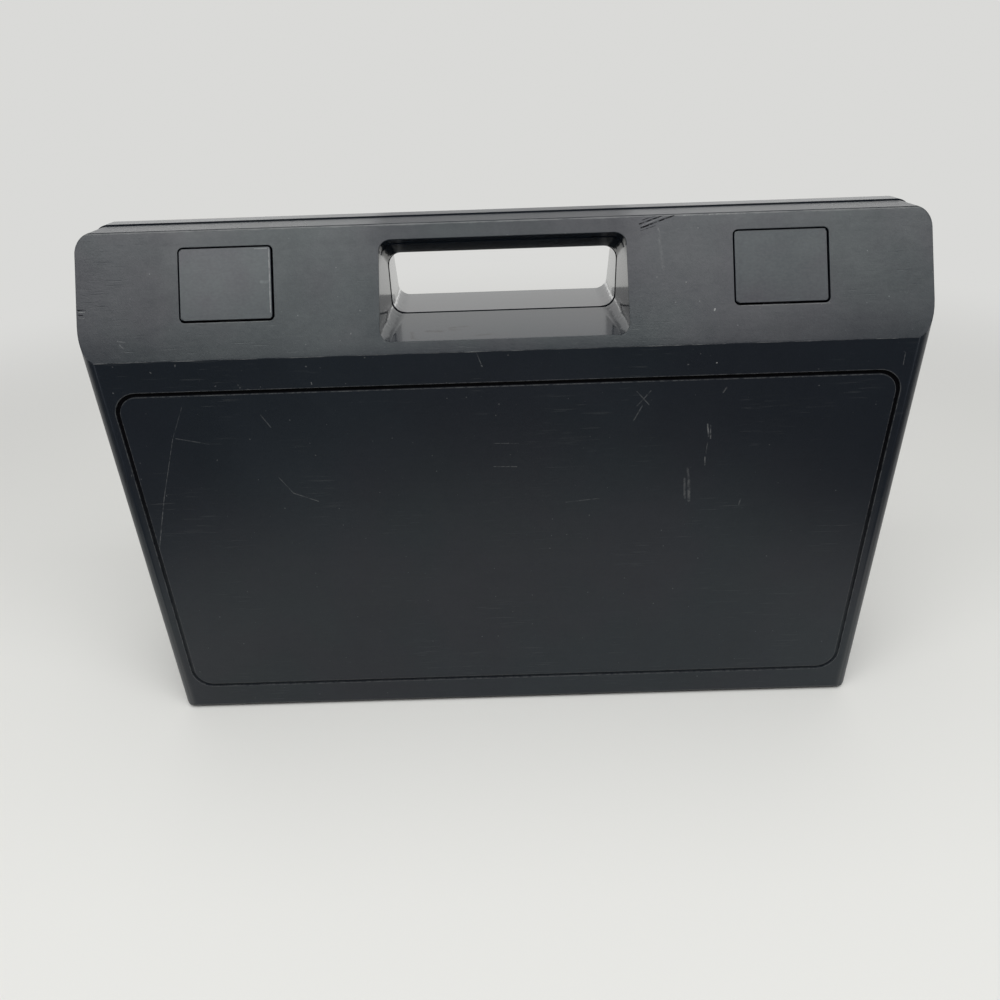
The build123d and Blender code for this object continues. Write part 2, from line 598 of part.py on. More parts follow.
def rack_mounts():
    """Standoff ribs and snap posts for the racks, on the back shell's broad wall."""
    group = Part()
    root = INNER_BACK + WALL / 4
    tip = RACK_FLOOR - CLIP_CLEARANCE
    for place in range(RACKS):
        x_centre = (place - (RACKS - 1) / 2) * RACK_PITCH
        for side in SIDES.values():
            x = x_centre + side * RIB_SPACING / 2
            rib_x = (x - RIB_THICKNESS / 2, x + RIB_THICKNESS / 2)
            group += block(rib_x, (RACK_BACK, root), (RACK_LOW, RACK_LOW + RACK_HEIGHT))
        for x, z in clip_places(x_centre):
            low, high = z - CLIP_THICKNESS / 2, z + CLIP_THICKNESS / 2
            post = [
                (root, low),
                (root, high),
                (tip, high),
                (tip, high + CLIP_BARB),
                (tip - CLIP_BARB, high + CLIP_BARB),
                (tip - 2 * CLIP_BARB, high - CLIP_THICKNESS / 3),
                (tip - 2 * CLIP_BARB, low),
            ]
            group += along_x(post, x - CLIP_WIDTH / 2, x + CLIP_WIDTH / 2)
    return group


# ---- The two shells
def rim_lip():
    """Lip along the sides and the top of the back shell's rim."""
    inset = WALL + LIP_CLEARANCE
    inner = outline(inset + LIP_THICKNESS)
    lip = along_y(outline(inset) - inner, -LIP_HEIGHT, LIP_ROOT)
    lip += along_y(outline(WALL * 0.9) - inner, RIM, LIP_ROOT)
    lip -= block((-CASE_WIDTH, CASE_WIDTH), (-HALF_DEPTH, HALF_DEPTH), (0, CHANNEL_TOP + LIP_ABOVE_CHANNEL))
    well_half = WELL_HALF_WIDTH + 3 * WELL_WALL
    return lip - block((-well_half, well_half), (-HALF_DEPTH, HALF_DEPTH), (0, TOP))


def front_shell():
    shell = half_shell(FRONT_TOP_RISE, RIM_CHAMFER, FRONT_MOUTH_CORNER, 0) + knuckles(front=True)
    shell -= hinge_bores(PIN_RUN_CLEARANCE)
    for side in SIDES.values():
        shell += pivot_lugs(side)
        shell += spring_seat(side)
    return shell


def back_shell():
    shell = half_shell(BACK_TOP_RISE, 0, BACK_MOUTH_CORNER, BACK_WELL_MARGIN) + knuckles(front=False)
    shell = mirrored(shell)
    shell -= hinge_bores(PIN_HOLD_CLEARANCE)
    return shell + rim_lip() + rack_mounts()


def build():
    """Every sub-part by name."""
    parts = {"front_shell": front_shell(), "back_shell": back_shell()}
    for name, place in {"left": -1, "middle": 0, "right": 1}.items():
        parts[f"{name}_hinge_pin"] = hinge_pin(place)
        parts[f"{name}_rack"] = rack(place * RACK_PITCH)
    for name, side in SIDES.items():
        parts[f"{name}_latch_button"] = latch_button(side)
        parts[f"{name}_latch_pin"] = latch_pin(side)
        parts[f"{name}_latch_spring"] = latch_spring(side)
        parts[f"{name}_latch_keeper"] = keeper(side)
    return parts


os.makedirs("parts", exist_ok=True)
for node, solid in build().items():
    export_step(solid, f"parts/{node}.step")
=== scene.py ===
"""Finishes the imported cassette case: rounded edges, worn black plastic, steel parts and a plain studio."""
from functools import reduce
from math import atan2, cos, pi, radians, sin

import bmesh
import bpy
from bpy.props import FloatProperty, FloatVectorProperty, IntProperty, PointerProperty
from mathutils import Matrix, Vector


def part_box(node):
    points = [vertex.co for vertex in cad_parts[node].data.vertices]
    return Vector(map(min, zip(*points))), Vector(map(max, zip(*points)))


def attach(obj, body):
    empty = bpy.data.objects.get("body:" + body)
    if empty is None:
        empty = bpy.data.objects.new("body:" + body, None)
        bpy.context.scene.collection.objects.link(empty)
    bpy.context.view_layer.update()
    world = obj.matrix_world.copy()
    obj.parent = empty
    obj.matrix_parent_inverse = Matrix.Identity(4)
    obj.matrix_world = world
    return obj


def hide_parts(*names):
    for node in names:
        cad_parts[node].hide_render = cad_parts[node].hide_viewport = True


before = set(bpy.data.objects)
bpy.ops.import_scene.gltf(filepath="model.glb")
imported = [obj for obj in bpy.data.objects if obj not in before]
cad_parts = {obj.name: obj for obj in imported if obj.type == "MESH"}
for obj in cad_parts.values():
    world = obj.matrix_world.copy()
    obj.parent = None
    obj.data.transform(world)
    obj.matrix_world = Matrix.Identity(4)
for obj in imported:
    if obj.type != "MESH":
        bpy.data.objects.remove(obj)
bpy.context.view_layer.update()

bl_info = {
    "name": "Cassette Case Finisher",
    "version": (1, 0, 0),
    "blender": (4, 5, 0),
    "location": "3D Viewport > Sidebar > Cassette Case",
    "description": "Softens the mouldings of a hinged cassette case and gives them worn black plastic",
    "category": "Object",
}

MM = 0.001

# Levels of the case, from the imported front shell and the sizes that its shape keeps
SHELL_LOW, SHELL_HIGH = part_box("front_shell")
HALF_WIDTH = SHELL_HIGH.x
HALF_DEPTH = -SHELL_LOW.y
FRONT_TOP_RISE = 0.33 * MM        # of the front shell's top strip, at the seam
TOP = SHELL_HIGH.z - FRONT_TOP_RISE
BAND_BELOW_TOP = 49.3 * MM
TOP_HALF_DEPTH = 16.0 * MM
BAND_LOW = TOP - BAND_BELOW_TOP
BAND_SLOPE = atan2(HALF_DEPTH - TOP_HALF_DEPTH, BAND_BELOW_TOP)
WELL_HALF_WIDTH = 57.0 * MM
WELL_LOW = TOP - 47.5 * MM
WELL_HIGH = TOP - 4.0 * MM
SHELF = TOP - 43.35 * MM           # of the well at the seam, and how it falls towards the front
SHELF_FALL = 0.035
PANEL_HIGH = BAND_LOW - 15.0 * MM  # centre line of the panel's groove
PANEL_LOW = 17.1 * MM
PANEL_SIDE = HALF_WIDTH - 10.95 * MM
PANEL_CORNER = 10.0 * MM
GROOVE_HALF_WIDTH = 0.9 * MM
BUTTON_SET = 0.35 * MM             # by which a button's left and upper rim stands nearer to its window
BUTTON_RIM = 0.5 * MM              # width of the strip along a button's border that is its rim
BUTTON_FACE = 0.3 * MM             # how far behind the band a button's outer face may lie
BUTTON_RIM_DEPTH = 0.6 * MM        # and how far behind it the rim reaches

# How the mouldings are cleaned and rounded
MERGE_WITHIN = 0.001 * MM
FLAT_WITHIN = radians(0.5)         # between faces that are joined into one
SHELL_SHARP = radians(55)          # between two faces whose common edge is rounded
MOULDING_SHARP = radians(50)
STEEL_SHARP = radians(60)
CREASE = radians(38)               # between two faces that are shaded apart
FACE_WEIGHT = 90                   # how far large faces set the shading of small ones

# Finish of the shells
SHELL_GRAINS = 1500.0              # per metre, as are all counts below
SHELL_DUST = ((110.0, 0.30), (260.0, 0.10))  # places for specks, and the share of them that is taken
# Speckle of the sheen: its count, the share of that along the case, and its strength
SHELL_SPECKLE = ((700.0, 0.03, 0.10), (420.0, 0.6, 0.24), (1300.0, 0.7, 0.34))
SHELL_PATCHES, SHELL_PATCH_SHARE = 45.0, 0.45
FACE_UNEVENNESS = 0.45             # of the shoulder's, on the broad faces
HAZE_LEFT = -155 * MM, -149 * MM   # from no haze to all of it, at its left end and at its right one
HAZE_RIGHT = 165 * MM, 115 * MM
HAZE_LEAN = 0.12                   # how far its ends lean to the right, for each metre up
TOP_RUB = TOP - 0.4 * MM           # height of the rubbing along the band's upper edge
FRONT_TOP_LIFT, BACK_TOP_LIFT = 0.30, 0.62
TOP_LIFT_TURNS = 2 * MM            # from the seam, within which the one lift of gloss turns into the other
PLAIN_GLOSS = 0.5                  # specular level of unworn plastic
ROOF_LOSS, SMEAR_LOSS = 0.8, 0.35  # of gloss, under the bridge and on the shelf
# Gloss lost under the groove's painted shade and in the gouges, and on the rims where the shells meet
GOUGE_AND_GROOVE_SHADE_LOSS, SEAM_LOSS = 0.82, 0.60
FACE_GRAIN, WELL_GRAIN = 0.95, 0.05  # how strong the grain is outside and on the polished walls
GOUGE_DEPTH = 3.0                  # in depths of the grain
# Painted shade in the panel's groove, and the dark of the gouges on the band
GOUGE_AND_GROOVE_SHADE_COLOUR = (0.003, 0.003, 0.004)
SMEAR_COLOUR = (0.020, 0.013, 0.008)
SHELL_TINTS = (1.0, 0.985, 1.0), (0.93, 1.0, 0.975)

# Finish of the latches, the racks and the steel
LATCH_GRAINS = 1900.0
LATCH_DUST = 150.0, 0.20
LATCH_USE = 0.08, -0.035           # gloss that use has given to the left button and taken from the right
LATCH_TINTS = (0.98, 0.97, 1.0), (0.93, 1.0, 0.99)
RACK_GRAINS, RACK_STREAKS = 900.0, 700.0
PIN_STEEL, PIN_ROUGHNESS = (0.62, 0.62, 0.60), 0.28
SPRING_STEEL, SPRING_ROUGHNESS = (0.45, 0.46, 0.50), 0.32
STEEL_LINES, STEEL_STAINS = 2500.0, 160.0

# Studio: each lamp's place and size, in metres, and the setting that gives its power
LAMPS = (
    ("ceiling_lamp", (0.0, 0.05, 1.15), (1.3, 0.9), "ceiling_power"),
    ("front_lamp", (0.0, -0.62, 1.10), (2.0, 0.6), "front_power"),
    ("back_lamp", (0.0, 1.30, 0.40), (3.0, 0.7), "back_power"),
)
FLOOR_SIDES = 64
FLOOR_ROUGHNESS = 0.75
FLOOR_FADE = 0.40, 1.10            # how far from the case's middle the floor turns into the backdrop
DIM_FRONT = 0.0, -0.12             # where in front, and how far from the middle, the mirrored floor turns dim
DIM_AWAY = 0.20, 0.40
SENSOR_WIDTH = 36.0                # in millimetres
NEAREST_SEEN = 0.01

# Marks on the broad front face: (x, height) of both ends in millimetres, width and strength
PANEL_MARKS = (
    ((-144.8, 179.9), (-152.5, 164.6), 0.35, 0.22),
    ((-152.5, 164.6), (-163.5, 135.0), 0.40, 0.38),
    ((-163.5, 135.0), (-173.0, 106.0), 0.50, 0.48),
    ((-151.0, 164.8), (-136.7, 161.5), 0.55, 0.28),
    ((-158.0, 185.2), (-145.0, 184.8), 0.30, 0.30),
    ((-110.5, 174.9), (-107.0, 168.9), 0.60, 0.32),
    ((-107.8, 143.5), (-102.2, 134.8), 0.45, 0.35),
    ((-102.2, 134.8), (-91.0, 130.0), 0.50, 0.50),
    ((-3.7, 176.5), (-3.6, 176.5), 0.90, 1.00),
    ((-5.3, 171.2), (-5.2, 171.2), 0.60, 0.40),
    ((-6.6, 157.4), (4.9, 157.0), 0.30, 0.45),
    ((-7.0, 145.5), (3.8, 145.1), 0.40, 0.45),
    ((26.5, 125.2), (42.7, 126.8), 0.50, 0.28),
    ((90.8, 163.5), (91.8, 157.6), 0.80, 0.70),
    ((92.2, 163.0), (92.8, 156.5), 0.70, 0.55),
    ((91.7, 154.5), (91.4, 149.5), 0.45, 0.45),
    ((91.2, 147.0), (91.5, 142.8), 0.60, 0.65),
    ((83.6, 141.4), (85.0, 134.0), 1.20, 0.28),
    ((82.6, 136.0), (83.6, 125.5), 1.20, 0.38),
    ((84.8, 135.0), (85.8, 124.0), 1.60, 0.45),
    ((57.7, 180.5), (63.5, 174.0), 0.60, 0.30),
    ((63.9, 180.5), (58.2, 173.6), 0.60, 0.36),
    ((60.5, 173.5), (57.0, 166.5), 0.70, 0.30),
    ((-12.5, 200.3), (-10.8, 195.4), 0.40, 0.38),
    ((-10.6, 194.6), (-10.5, 194.5), 0.80, 0.80),
    ((-174.7, 43.4), (-174.6, 43.4), 0.80, 0.90),
    ((110.5, 124.0), (110.0, 121.0), 0.70, 0.35),
    ((96.2, 178.8), (97.4, 181.0), 0.80, 0.35),
    ((-71.0, 108.5), (-70.9, 108.5), 0.60, 0.50),
    ((91.7, 192.5), (91.9, 192.6), 0.75, 1.00),
    ((79.3, 192.2), (79.5, 192.2), 0.70, 0.55),
    ((-143.3, 198.8), (-143.2, 199.4), 0.60, 0.50),
    ((-154.8, 196.5), (-154.5, 196.1), 0.60, 0.45),
    ((-86.9, 196.9), (-86.7, 196.9), 0.70, 0.50),
    ((-85.5, 188.7), (-85.6, 189.5), 0.60, 0.60),
    ((-117.3, 187.9), (-117.1, 188.2), 0.70, 0.55),
    ((-113.9, 187.3), (-113.8, 187.3), 0.60, 0.60),
    ((-128.1, 189.2), (-127.6, 189.3), 0.60, 0.45),
    ((-173.4, 187.5), (-173.3, 187.5), 0.70, 0.70),
    ((-176.0, 146.5), (-175.9, 147.0), 0.60, 0.50),
    ((164.4, 185.7), (164.6, 185.8), 0.60, 0.50),
    ((173.4, 194.5), (173.6, 189.0), 0.50, 0.35),
    ((103.5, 2.0), (103.8, 2.1), 0.70, 0.90),
    ((100.2, 13.1), (100.3, 13.1), 0.60, 0.80),
)

# Marks on the shoulder band: (x, way up the band) of both ends in millimetres, width and strength
BAND_MARKS = (
    ((90.4, 14.6), (90.6, 15.1), 0.75, 3.00),
    ((78.5, 26.9), (78.6, 27.0), 0.65, 1.00),
    ((-86.1, 5.6), (-86.0, 5.4), 0.60, 0.80),
    ((-183.8, 22.6), (-181.3, 22.4), 0.40, 1.20),
    ((-183.8, 20.0), (-181.6, 19.9), 0.40, 0.90),
    ((-167.5, 9.5), (-164.0, 8.8), 0.50, 0.50),
    ((-166.5, 7.8), (-165.0, 6.2), 0.60, 0.60),
    ((76.4, 55.9), (105.0, 56.1), 1.00, 1.30),
    ((67.2, 50.4), (68.0, 47.5), 1.10, 0.45),
    ((67.6, 46.0), (69.0, 33.0), 1.60, 0.22),
    ((60.5, 52.0), (71.5, 56.2), 0.40, 0.60),
    ((102.0, 16.1), (140.0, 16.1), 0.40, 0.60),
    ((-138.0, 16.1), (-102.0, 16.1), 0.40, 0.45),
    ((-66.5, 9.5), (-66.4, 9.8), 0.70, 0.60),
)

# Gouges that crossed the band's upper edge and stayed dark: same form
BAND_GOUGES = (
    ((59.3, 52.6), (70.4, 56.3), 0.60, 1.20),
    ((59.9, 50.9), (74.3, 55.9), 0.70, 1.30),
    ((59.6, 49.6), (66.0, 51.6), 0.45, 0.70),
    ((60.4, 54.2), (66.5, 56.1), 0.45, 0.80),
    ((-184.2, 23.4), (-181.0, 23.3), 0.60, 1.20),
    ((-184.2, 21.2), (-182.2, 21.1), 0.60, 1.00),
)

# Painted highlights along the right and upper edge of the left latch button, and one faint broad mark near
# that right edge: same form
BUTTON_MARKS_AND_HIGHLIGHTS = (
    ((-100.8, 20.0), (-100.8, 47.2), 0.55, 0.90),
    ((-107.0, 47.5), (-101.6, 47.6), 0.50, 0.80),
    ((-104.5, 33.2), (-101.6, 33.0), 1.60, 0.15),
)

# Scuffs on the flat top beside the seam: (x, y) of both ends in millimetres, width and strength
TOP_SCUFFS = (
    ((166.5, -1.3), (181.0, -1.1), 1.90, 0.60),
    ((164.0, 1.6), (180.0, 1.4), 1.60, 0.50),
    ((100.5, -13.5), (108.5, -14.6), 0.60, 0.50),
    ((-150.0, -14.8), (-128.0, -14.9), 0.50, 0.35),
)

# Smears on the shelf of the handle well: (x, y) of both ends in millimetres, width and strength
SHELF_SMEARS = (
    ((-34.3, -27.6), (-28.0, -28.2), 3.2, 0.55),
    ((-24.5, -24.0), (-16.5, -22.0), 2.6, 0.60),
    ((-24.0, -26.5), (-20.0, -27.0), 3.0, 0.45),
    ((-12.5, -35.5), (-5.8, -34.0), 2.4, 0.40),
    ((-41.3, -28.5), (-40.2, -37.0), 2.2, 0.50),
    ((-39.5, -36.8), (-38.0, -38.5), 1.6, 0.60),
)


def band_point(x, up):
    """Point on the shoulder band of the front half, in metres, from millimetres along and up the band."""
    reach = up * MM
    return Vector((x * MM, -(HALF_DEPTH - reach * sin(BAND_SLOPE)), BAND_LOW + reach * cos(BAND_SLOPE)))


def band_way(point):
    """How far up the front shoulder band a point is, in metres."""
    return (point.y + HALF_DEPTH) * sin(BAND_SLOPE) + (point.z - BAND_LOW) * cos(BAND_SLOPE)


def band_depth(point):
    """How far behind the front shoulder band a point is, in metres."""
    return (point.y + HALF_DEPTH) * cos(BAND_SLOPE) - (point.z - BAND_LOW) * sin(BAND_SLOPE)


def panel_point(x, height):
    """Point on the broad front face, in metres."""
    return Vector((x * MM, -HALF_DEPTH, height * MM))


def top_point(x, y):
    """Point on the flat top of the front half, in metres."""
    return Vector((x * MM, y * MM, TOP))


def shelf_point(x, y):
    """Point on the shelf of the handle well's front half, in metres."""
    return Vector((x * MM, y * MM, SHELF + y * MM * SHELF_FALL))


# ---- Settings that a user would change
class PlasticSettings(bpy.types.PropertyGroup):
    shell_colour: FloatVectorProperty(
        name="Shell colour", description="Black of the two half shells", subtype="COLOR", size=3,
        min=0, max=1, default=(0.0062, 0.0090, 0.0140),
    )
    latch_colour: FloatVectorProperty(
        name="Latch colour", description="Black of the buttons and keepers", subtype="COLOR", size=3,
        min=0, max=1, default=(0.0065, 0.0085, 0.0135),
    )
    rack_colour: FloatVectorProperty(
        name="Rack colour", description="Black of the cassette racks", subtype="COLOR", size=3,
        min=0, max=1, default=(0.014, 0.014, 0.015),
    )
    # Also the colour of the painted highlights along the panel's groove and the left button's edges
    worn_and_highlight_colour: FloatVectorProperty(
        name="Rubbed colour", description="Grey of scratches and rubbed edges", subtype="COLOR", size=3,
        min=0, max=1, default=(0.22, 0.225, 0.225),
    )
    # Also sets how strong the painted highlights on the left button are
    scratches: FloatProperty(
        name="Scratches", description="How far scratches reach the rubbed colour", min=0, max=1,
        default=0.85,
    )
    dust: FloatProperty(
        name="Dust", description="How far dust specks reach the rubbed colour", min=0, max=1, default=0.45,
    )
    latch_gloss: FloatProperty(
        name="Latch gloss", description="Specular level of the buttons", min=0, max=1, default=0.52,
    )
    roughness: FloatProperty(
        name="Roughness", description="Roughness of the textured outer faces", min=0, max=1, default=0.34,
    )
    face_gloss: FloatProperty(
        name="Face gloss", description="Sheen of the broad faces beside that of the shoulder", min=0, max=1,
        default=0.80,
    )
    haze: FloatProperty(
        name="Haze", description="How far hands have greyed the shoulder", min=0, max=0.2, default=0.045,
    )
    handled: FloatProperty(
        name="Handled", description="Roughness added where the hand dulls the plastic", min=0, max=1,
        default=0.10,
    )
    smoothed_top: FloatProperty(
        name="Smoothed top", description="Roughness taken off the flat top", min=0, max=0.3, default=0.09,
    )
    polish: FloatProperty(
        name="Well roughness", description="Roughness of the polished walls of the handle hole", min=0, max=1,
        default=0.13,
    )
    grain_depth: FloatProperty(
        name="Grain depth", description="Height of the moulded grain", unit="LENGTH", min=0,
        default=0.035 * MM,
    )


class EdgeSettings(bpy.types.PropertyGroup):
    shell: FloatProperty(
        name="Shell edge", description="Rounding of the shells' sharp edges", unit="LENGTH", min=0,
        default=0.25 * MM,
    )
    latch: FloatProperty(
        name="Latch edge", description="Rounding of the latch mouldings", unit="LENGTH", min=0,
        default=0.2 * MM,
    )
    rack: FloatProperty(
        name="Rack edge", description="Rounding of the racks' fins", unit="LENGTH", min=0, default=0.25 * MM,
    )
    steel: FloatProperty(
        name="Steel edge", description="Rounding of pins, twice that of springs", unit="LENGTH", min=0,
        default=0.12 * MM,
    )
    segments: IntProperty(
        name="Segments", description="Facets across each rounded edge", min=1, max=6, default=2,
    )


class StudioSettings(bpy.types.PropertyGroup):
    camera_place: FloatVectorProperty(
        name="Camera", description="Where the camera stands", subtype="TRANSLATION", size=3,
        default=(-0.0026, -0.3633, 0.3057),
    )
    camera_pitch: FloatProperty(
        name="Pitch", description="How far the camera looks down", subtype="ANGLE", default=radians(29.10),
    )
    camera_turn: FloatProperty(
        name="Turn", description="How far the camera is turned to its right", subtype="ANGLE",
        default=radians(-0.36),
    )
    camera_roll: FloatProperty(
        name="Roll", description="How far the camera leans clockwise", subtype="ANGLE", default=radians(1.97),
    )
    lens: FloatProperty(name="Lens", description="Focal length", unit="CAMERA", min=1, default=27.62)
    floor_colour: FloatVectorProperty(
        name="Floor", description="Colour of the floor", subtype="COLOR", size=3, min=0, max=1,
        default=(0.80, 0.80, 0.775),
    )
    backdrop_colour: FloatVectorProperty(
        name="Backdrop", description="Colour behind the floor", subtype="COLOR", size=3, min=0, max=1,
        default=(0.70, 0.70, 0.685),
    )
    front_shade: FloatProperty(
        name="Front shade", description="How bright the floor in front is where the case mirrors it",
        min=0, max=1, default=0.06,
    )
    mirror_lift: FloatProperty(
        name="Mirror lift", description="How much brighter the far floor is where the case mirrors it",
        min=0, max=1, default=0.3,
    )
    floor_size: FloatProperty(
        name="Floor size", description="Radius of the floor", unit="LENGTH", default=6.0,
    )
    ceiling_power: FloatProperty(
        name="Ceiling lamp", description="Power of the soft lamp above", unit="POWER", default=3.5,
    )
    front_power: FloatProperty(
        name="Front lamp", description="Power of the soft lamp in front", unit="POWER", default=14.5,
    )
    back_power: FloatProperty(
        name="Back lamp", description="Power of the broad lamp behind", unit="POWER", default=5.0,
    )
    ambient: FloatProperty(
        name="Ambient", description="Strength of the light from all round", min=0, default=0.25,
    )


def plastic():
    return bpy.context.scene.case_plastic


def edges():
    return bpy.context.scene.case_edges


def studio():
    return bpy.context.scene.case_studio


# ---- Node helpers
# Colour sockets of a Mix node, by number, as those for values have the same names
MIX_SHARE, MIX_FIRST, MIX_SECOND, MIX_RESULT = 0, 6, 7, 2


def feed(tree, socket, value):
    """Give a socket its value, or a link from another node's output."""
    if isinstance(value, bpy.types.NodeSocket):
        tree.links.new(value, socket)
    else:
        socket.default_value = value


def add_node(tree, kind, inputs=None, **settings):
    """A node with its settings and its inputs, each a value or another node's output."""
    made = tree.nodes.new(kind)
    for name, value in settings.items():
        setattr(made, name, value)
    for name, value in (inputs or {}).items():
        feed(tree, made.inputs[name], value)
    return made


def calc(tree, operation, *values, clamp=False):
    """Output of a Math node."""
    made = add_node(tree, "ShaderNodeMath", dict(enumerate(values)), operation=operation, use_clamp=clamp)
    return made.outputs[0]


def chain(tree, operation, values):
    """Output of Math nodes in a row, each of which takes in one more value as soon as it is made."""
    return reduce(lambda so_far, value: calc(tree, operation, so_far, value), values)


def product(tree, *values):
    """Product of several values."""
    return chain(tree, "MULTIPLY", values)


def strongest(tree, *masks):
    """Largest of several masks."""
    return chain(tree, "MAXIMUM", masks)


def less(tree, value, mask, loss):
    """Value cut by a share where a mask is 1."""
    kept = calc(tree, "SUBTRACT", 1.0, calc(tree, "MULTIPLY", mask, loss), clamp=True)
    return calc(tree, "MULTIPLY", value, kept)


def swing(tree, value, share):
    """A value between 0 and 1 as a swing about 0, cut to a share."""
    return calc(tree, "MULTIPLY", calc(tree, "SUBTRACT", value, 0.5), share)


def vector_calc(tree, operation, *values):
    """Vector output of a Vector Math node, or its value where the operation gives one."""
    made = add_node(tree, "ShaderNodeVectorMath", dict(enumerate(values)), operation=operation)
    gives_value = operation in ("DOT_PRODUCT", "LENGTH", "DISTANCE")
    return made.outputs["Value" if gives_value else "Vector"]


def ramp(tree, value, low, high, to_low=0.0, to_high=1.0):
    """Smooth step of a value between two levels."""
    made = add_node(
        tree, "ShaderNodeMapRange",
        {"Value": value, "From Min": low, "From Max": high, "To Min": to_low, "To Max": to_high},
        interpolation_type="SMOOTHSTEP",
    )
    return made.outputs["Result"]


def noise(tree, place, scale, detail=2.0, roughness=0.5):
    """Noise between 0 and 1 at a place."""
    made = add_node(
        tree, "ShaderNodeTexNoise",
        {"Vector": place, "Scale": scale, "Detail": detail, "Roughness": roughness},
    )
    return made.outputs[0]


def blend_colour(tree, share, first, second):
    """Mix of two colours."""
    made = add_node(
        tree, "ShaderNodeMix", {MIX_SHARE: share, MIX_FIRST: first, MIX_SECOND: second}, data_type="RGBA",
    )
    return made.outputs[MIX_RESULT]


def split(tree, place):
    """X, Y and Z of a place, by name."""
    return add_node(tree, "ShaderNodeSeparateXYZ", {"Vector": place}).outputs


def stretch(tree, place, scale, turn=0.0):
    """A place drawn out along some axes, after a turn about the depth axis."""
    made = add_node(
        tree, "ShaderNodeMapping", {"Vector": place, "Rotation": (0.0, turn, 0.0), "Scale": scale},
    )
    return made.outputs["Vector"]


def opaque(colour, share=1.0):
    """Colour, or a share of it, with its alpha."""
    return (*(part * share for part in colour), 1.0)


def new_group(name, places, values, outputs):
    """Empty shader group of places and values: its tree, its input sockets and its output node."""
    group = bpy.data.node_groups.new(name, "ShaderNodeTree")
    for sockets, way, kind in (
        (places, "INPUT", "NodeSocketVector"), (values, "INPUT", "NodeSocketFloat"),
        (outputs, "OUTPUT", "NodeSocketFloat"),
    ):
        for socket in sockets:
            group.interface.new_socket(name=socket, in_out=way, socket_type=kind)
    start = group.nodes.new("NodeGroupInput")
    end = group.nodes.new("NodeGroupOutput")
    return group, start.outputs, end


def use_group(tree, name, **inputs):
    """Outputs of a group placed in a tree."""
    made = add_node(
        tree, "ShaderNodeGroup", {socket.replace("_", " "): value for socket, value in inputs.items()},
        node_tree=bpy.data.node_groups[name],
    )
    return made.outputs


# ---- Effects shared by the materials
def make_grain_group():
    """Fine moulded grain: its height, and the slow unevenness of its sheen."""
    coarse_count, coarse_height, clouds = 0.22, 0.6, 9.0
    group, given, end = new_group("Moulded grain", ["Place"], ["Grains per metre"], ["Height", "Unevenness"])
    fine = noise(group, given["Place"], given["Grains per metre"], detail=3.0, roughness=0.6)
    count = calc(group, "MULTIPLY", given["Grains per metre"], coarse_count)
    coarse = noise(group, given["Place"], count, detail=2.0)
    height = calc(group, "ADD", fine, calc(group, "MULTIPLY", coarse, coarse_height))
    cloud = noise(group, given["Place"], clouds, detail=4.0, roughness=0.62)
    group.links.new(height, end.inputs["Height"])
    group.links.new(ramp(group, cloud, 0.30, 0.72), end.inputs["Unevenness"])


def make_mark_group():
    """One straight mark: a mask round the line between two points, broken up along its length."""
    fade = 0.6
    group, given, end = new_group(
        "Straight mark", ["Place", "Start", "End"], ["Width", "Broken", "Strength"], ["Mask"],
    )
    run = vector_calc(group, "SUBTRACT", given["End"], given["Start"])
    away = vector_calc(group, "SUBTRACT", given["Place"], given["Start"])
    share = calc(
        group, "DIVIDE",
        vector_calc(group, "DOT_PRODUCT", away, run), vector_calc(group, "DOT_PRODUCT", run, run), clamp=True,
    )
    nearest = add_node(group, "ShaderNodeVectorMath", {"Vector": run, "Scale": share}, operation="SCALE")
    gap = vector_calc(group, "LENGTH", vector_calc(group, "SUBTRACT", away, nearest.outputs["Vector"]))
    half = calc(group, "MULTIPLY", given["Width"], 0.5)
    line = calc(group, "SUBTRACT", 1.0, calc(group, "DIVIDE", gap, half), clamp=True)
    line = calc(group, "POWER", line, fade)
    group.links.new(product(group, line, given["Broken"], given["Strength"]), end.inputs["Mask"])


def make_speck_group():
    """Scattered specks of dust and lint, on a place in two dimensions."""
    largest = 0.045
    group, given, end = new_group("Dust specks", ["Place"], ["Specks per metre", "Share"], ["Mask"])
    cells = add_node(
        group, "ShaderNodeTexVoronoi", {"Vector": given["Place"], "Scale": given["Specks per metre"]},
        voronoi_dimensions="2D",
    )
    chance = add_node(group, "ShaderNodeSeparateColor", {"Color": cells.outputs["Color"]})
    size = calc(group, "MULTIPLY", chance.outputs["Green"], largest)
    dot = calc(group, "SUBTRACT", 1.0, calc(group, "DIVIDE", cells.outputs["Distance"], size), clamp=True)
    chosen = calc(group, "LESS_THAN", chance.outputs["Red"], given["Share"])
    group.links.new(calc(group, "MULTIPLY", dot, chosen), end.inputs["Mask"])


def make_hairline_group():
    """Fine scratches in two directions, in patches."""
    drawn_out, lines_per_metre, patches_per_metre = (0.05, 1.0, 1.0), 1100.0, 32.0
    group, given, end = new_group("Hairlines", ["Place"], [], ["Mask"])
    lines = []
    for turn in (radians(9), radians(-41)):
        drawn = stretch(group, given["Place"], drawn_out, turn)
        lines.append(ramp(group, noise(group, drawn, lines_per_metre), 0.64, 0.74))
    patches = ramp(group, noise(group, given["Place"], patches_per_metre, detail=3.0), 0.46, 0.66)
    group.links.new(product(group, strongest(group, *lines), patches), end.inputs["Mask"])


